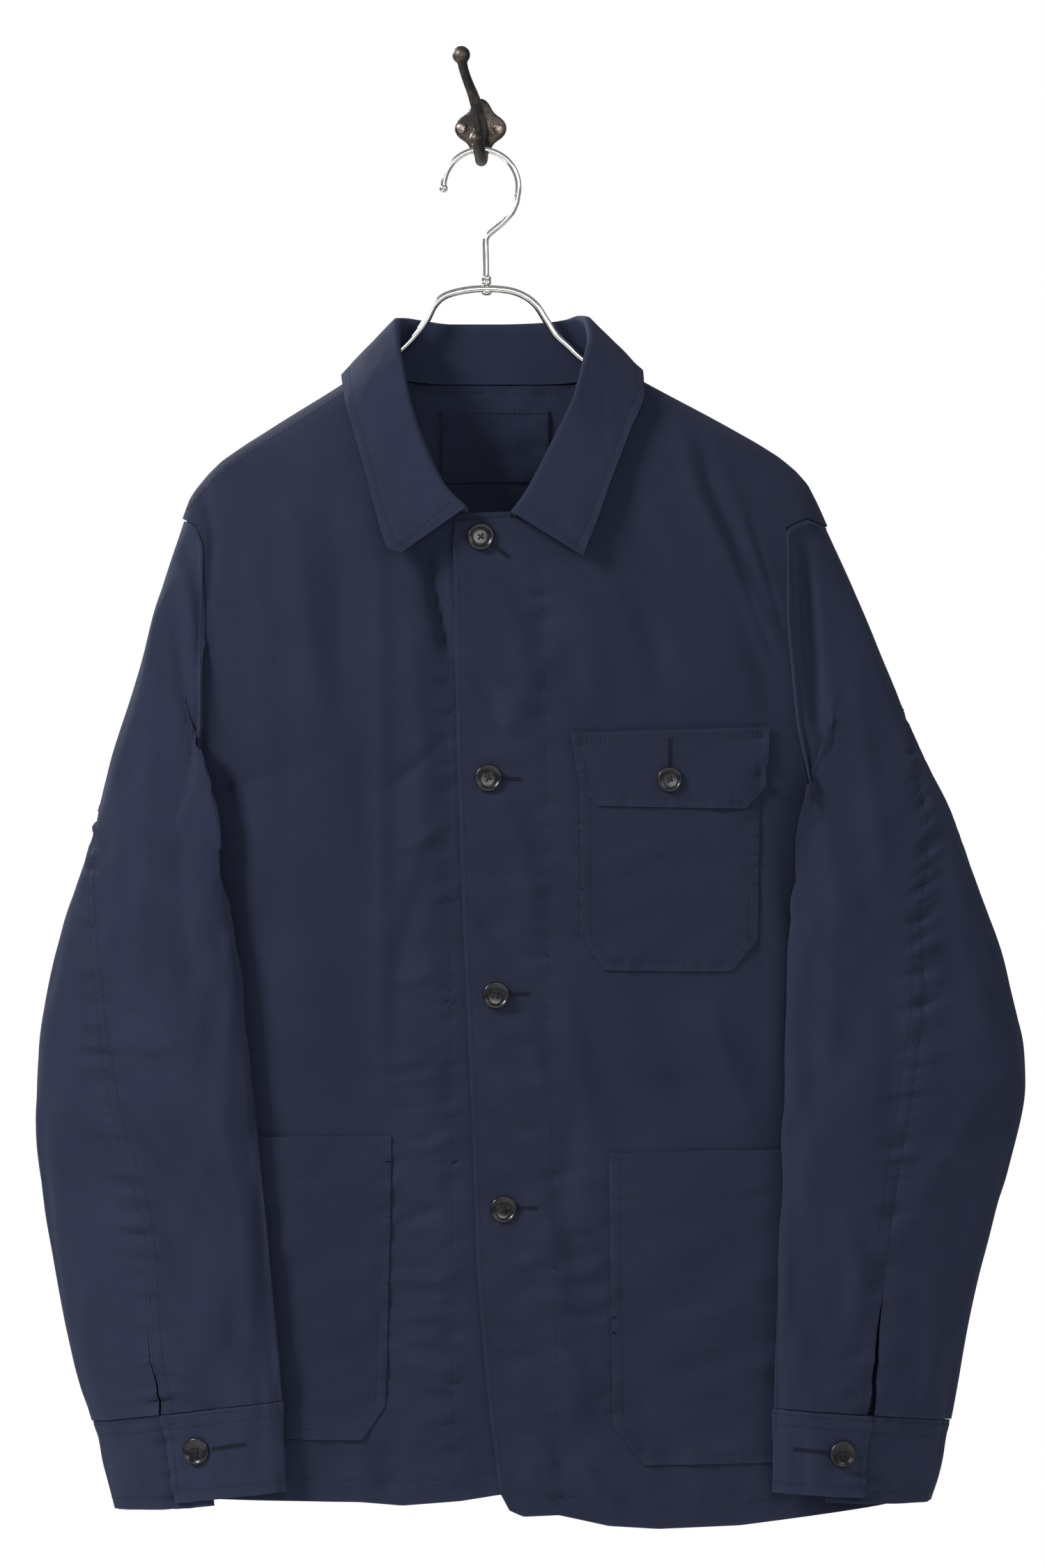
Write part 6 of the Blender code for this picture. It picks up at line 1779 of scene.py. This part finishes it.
HOLE_BAND = 1.15
HOLE_STEP = 0.36
HOLE_THREAD = 0.2
oversewn = bpy.data.node_groups.new("oversewn_edge", "GeometryNodeTree")
oversewn.interface.new_socket("Edge", in_out="INPUT", socket_type="NodeSocketGeometry")
for label, value in (("Step", HOLE_STEP), ("Band", HOLE_BAND), ("Thread Radius", HOLE_THREAD)):
    socket = oversewn.interface.new_socket(label, in_out="INPUT", socket_type="NodeSocketFloat")
    socket.default_value = value * METRES
socket = oversewn.interface.new_socket("Thread", in_out="INPUT", socket_type="NodeSocketMaterial")
oversewn.interface.new_socket("Thread Mesh", in_out="OUTPUT", socket_type="NodeSocketGeometry")
given = oversewn.nodes.new("NodeGroupInput")
result = oversewn.nodes.new("NodeGroupOutput")
edge_curve = node(oversewn, "GeometryNodeMeshToCurve", Mesh=given.outputs["Edge"])
stepped = node(oversewn, "GeometryNodeResampleCurve", {"mode": "LENGTH"}, Curve=edge_curve.outputs["Curve"],
               Length=given.outputs["Step"])
outwards = node(oversewn, "GeometryNodeInputNamedAttribute", {"data_type": "FLOAT_VECTOR"}, Name="outwards")
count = oversewn.nodes.new("GeometryNodeInputIndex")
parity = node(oversewn, "ShaderNodeMath", {"operation": "MODULO"}, i0=count.outputs["Index"], i1=2.0)
reach = node(oversewn, "ShaderNodeMath", {"operation": "MULTIPLY"}, i0=parity.outputs[0],
             i1=given.outputs["Band"])
shift = node(oversewn, "ShaderNodeVectorMath", {"operation": "SCALE"}, i0=outwards.outputs["Attribute"],
             Scale=reach.outputs[0])
zigzag = node(oversewn, "GeometryNodeSetPosition", Geometry=stepped.outputs["Curve"],
              Offset=shift.outputs[0])
round_thread = node(oversewn, "GeometryNodeCurvePrimitiveCircle", Resolution=5,
                    Radius=given.outputs["Thread Radius"])
tubes = node(oversewn, "GeometryNodeCurveToMesh", Curve=zigzag.outputs["Geometry"])
oversewn.links.new(round_thread.outputs["Curve"], tubes.inputs["Profile Curve"])
tubes.inputs["Fill Caps"].default_value = True
real = node(oversewn, "GeometryNodeRealizeInstances", Geometry=tubes.outputs["Mesh"])
finished = node(oversewn, "GeometryNodeSetMaterial", Geometry=real.outputs["Geometry"],
                Material=given.outputs["Thread"])
oversewn.links.new(finished.outputs["Geometry"], result.inputs["Thread Mesh"])

hole_points, hole_edges, hole_outwards = [], [], []


def buttonhole(surface, start, end, lift):
    """The slit's edge, once round, from its ends in the surface's own u and v."""
    start, end = np.asarray(start, float), np.asarray(end, float)
    share = np.linspace(0, 1, 24)[:, None]
    line = start * (1 - share) + end * share
    on_line = surface(line[:, 0], line[:, 1])
    way = unit_rows(np.gradient(on_line, axis=0))
    du = surface(line[:, 0] + 1e-3, line[:, 1]) - on_line
    dv = surface(line[:, 0], line[:, 1] + 1e-3) - on_line
    normal = unit_rows(np.cross(du, dv))
    normal = normal * np.where(normal[:, 1:2] > 0, -1, 1)
    aside = np.cross(way, normal)
    turn = np.linspace(0, np.pi, 7)[1:-1, None]
    far = on_line[-1] + 0.15 * (np.cos(turn) * aside[-1] + np.sin(turn) * way[-1]) + normal[-1] * lift
    far_out = np.cos(turn) * aside[-1] + np.sin(turn) * way[-1]
    one = on_line + aside * 0.15 + normal * lift
    two = (on_line - aside * 0.15 + normal * lift)[::-1]
    ring = np.concatenate([one, far, two])
    out = np.concatenate([aside, far_out, -aside[::-1]])
    hole_edges.extend((len(hole_points) + i, len(hole_points) + i + 1) for i in range(len(ring) - 1))
    hole_points.extend(tuple(p * METRES) for p in ring)
    hole_outwards.extend(tuple(o) for o in out)


for (start, end) in (((6.5, 273), (19, 283)), ((13, 425.4), (27, 426)), ((18, 564.5), (32, 564)),
                     ((23, 702.5), (37, 702))):
    buttonhole(on_front, start, end, 0.2)
buttonhole(flap_face, (122, 418), (122.4, 399.5), 0.15)
for side, far in (("right", 0.148), ("left", 0.005)):
    near = CUFF_BUTTON_LAP[side]
    edge_place = CUFF_RING + 0.45
    far_share = near + (0.085 if side == "right" else 0.1)
    buttonhole(cuff_face(side), (near + 0.025, edge_place),
               (far_share, edge_place - 0.01), 0.2)
hole_mesh = bpy.data.meshes.new("buttonhole_thread")
hole_mesh.from_pydata(hole_points, hole_edges, [])
kept = hole_mesh.attributes.new("outwards", "FLOAT_VECTOR", "POINT")
kept.data.foreach_set("vector", np.array(hole_outwards, np.float32).ravel())
buttonholes = bpy.data.objects.new("buttonhole_thread", hole_mesh)
bpy.context.scene.collection.objects.link(buttonholes)
oversewing = buttonholes.modifiers.new("oversewing", "NODES")
oversewing.node_group = oversewn
for item in oversewn.interface.items_tree:
    if item.item_type == "SOCKET" and item.in_out == "INPUT" and item.name == "Thread":
        oversewing[item.identifier] = NAVY_THREAD
settled(buttonholes)
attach(buttonholes, "root")

# --------------------------------------------------------------------------- the stitching
# Every row of navy topstitching, as single stitches of round thread pulled into the cloth at
# even steps along the lines that the pieces above keep.

STITCH_STEP = 2.9
STITCH_LONG = 2.1
STITCH_THICK = 0.6
stitches = bpy.data.node_groups.new("rows_of_stitches", "GeometryNodeTree")
stitches.interface.new_socket("Lines", in_out="INPUT", socket_type="NodeSocketGeometry")
for label, value in (("Step", STITCH_STEP), ("Length", STITCH_LONG), ("Thickness", STITCH_THICK)):
    socket = stitches.interface.new_socket(label, in_out="INPUT", socket_type="NodeSocketFloat")
    socket.default_value = value * METRES
socket = stitches.interface.new_socket("Thread", in_out="INPUT", socket_type="NodeSocketMaterial")
stitches.interface.new_socket("Stitches", in_out="OUTPUT", socket_type="NodeSocketGeometry")
given = stitches.nodes.new("NodeGroupInput")
result = stitches.nodes.new("NodeGroupOutput")
curves = node(stitches, "GeometryNodeMeshToCurve", Mesh=given.outputs["Lines"])
evenly = node(stitches, "GeometryNodeResampleCurve", {"mode": "LENGTH"}, Curve=curves.outputs["Curve"],
              Length=given.outputs["Step"])
thread = node(stitches, "GeometryNodeMeshUVSphere", Segments=5, Rings=3, Radius=0.5)
tangent = stitches.nodes.new("GeometryNodeInputTangent")
turned = node(stitches, "FunctionNodeAlignRotationToVector", {"axis": "X"}, Vector=tangent.outputs["Tangent"])
longer = node(stitches, "FunctionNodeRandomValue", {"data_type": "FLOAT"}, i2=0.86, i3=1.12, Seed=7)
length = node(stitches, "ShaderNodeMath", {"operation": "MULTIPLY"}, i0=given.outputs["Length"],
              i1=longer.outputs[1])
size = node(stitches, "ShaderNodeCombineXYZ", X=length.outputs[0], Y=given.outputs["Thickness"],
            Z=given.outputs["Thickness"])
placed = node(stitches, "GeometryNodeInstanceOnPoints", Points=evenly.outputs["Curve"],
              Instance=thread.outputs["Mesh"], Rotation=turned.outputs["Rotation"], Scale=size.outputs[0])
real = node(stitches, "GeometryNodeRealizeInstances", Geometry=placed.outputs["Instances"])
smooth = node(stitches, "GeometryNodeSetShadeSmooth", Geometry=real.outputs["Geometry"])
finished = node(stitches, "GeometryNodeSetMaterial", Geometry=smooth.outputs["Geometry"],
                Material=given.outputs["Thread"])
stitches.links.new(finished.outputs["Geometry"], result.inputs["Stitches"])

points, edges = [], []
for line in stitch_lines:
    edges += [(len(points) + i, len(points) + i + 1) for i in range(len(line) - 1)]
    points += [tuple(p * METRES) for p in line]
lines_mesh = bpy.data.meshes.new("topstitching")
lines_mesh.from_pydata(points, edges, [])
topstitching = bpy.data.objects.new("topstitching", lines_mesh)
bpy.context.scene.collection.objects.link(topstitching)
sewing = topstitching.modifiers.new("sewing", "NODES")
sewing.node_group = stitches
for item in stitches.interface.items_tree:
    if item.item_type == "SOCKET" and item.in_out == "INPUT" and item.name == "Thread":
        sewing[item.identifier] = NAVY_THREAD
settled(topstitching)
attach(topstitching, "root")
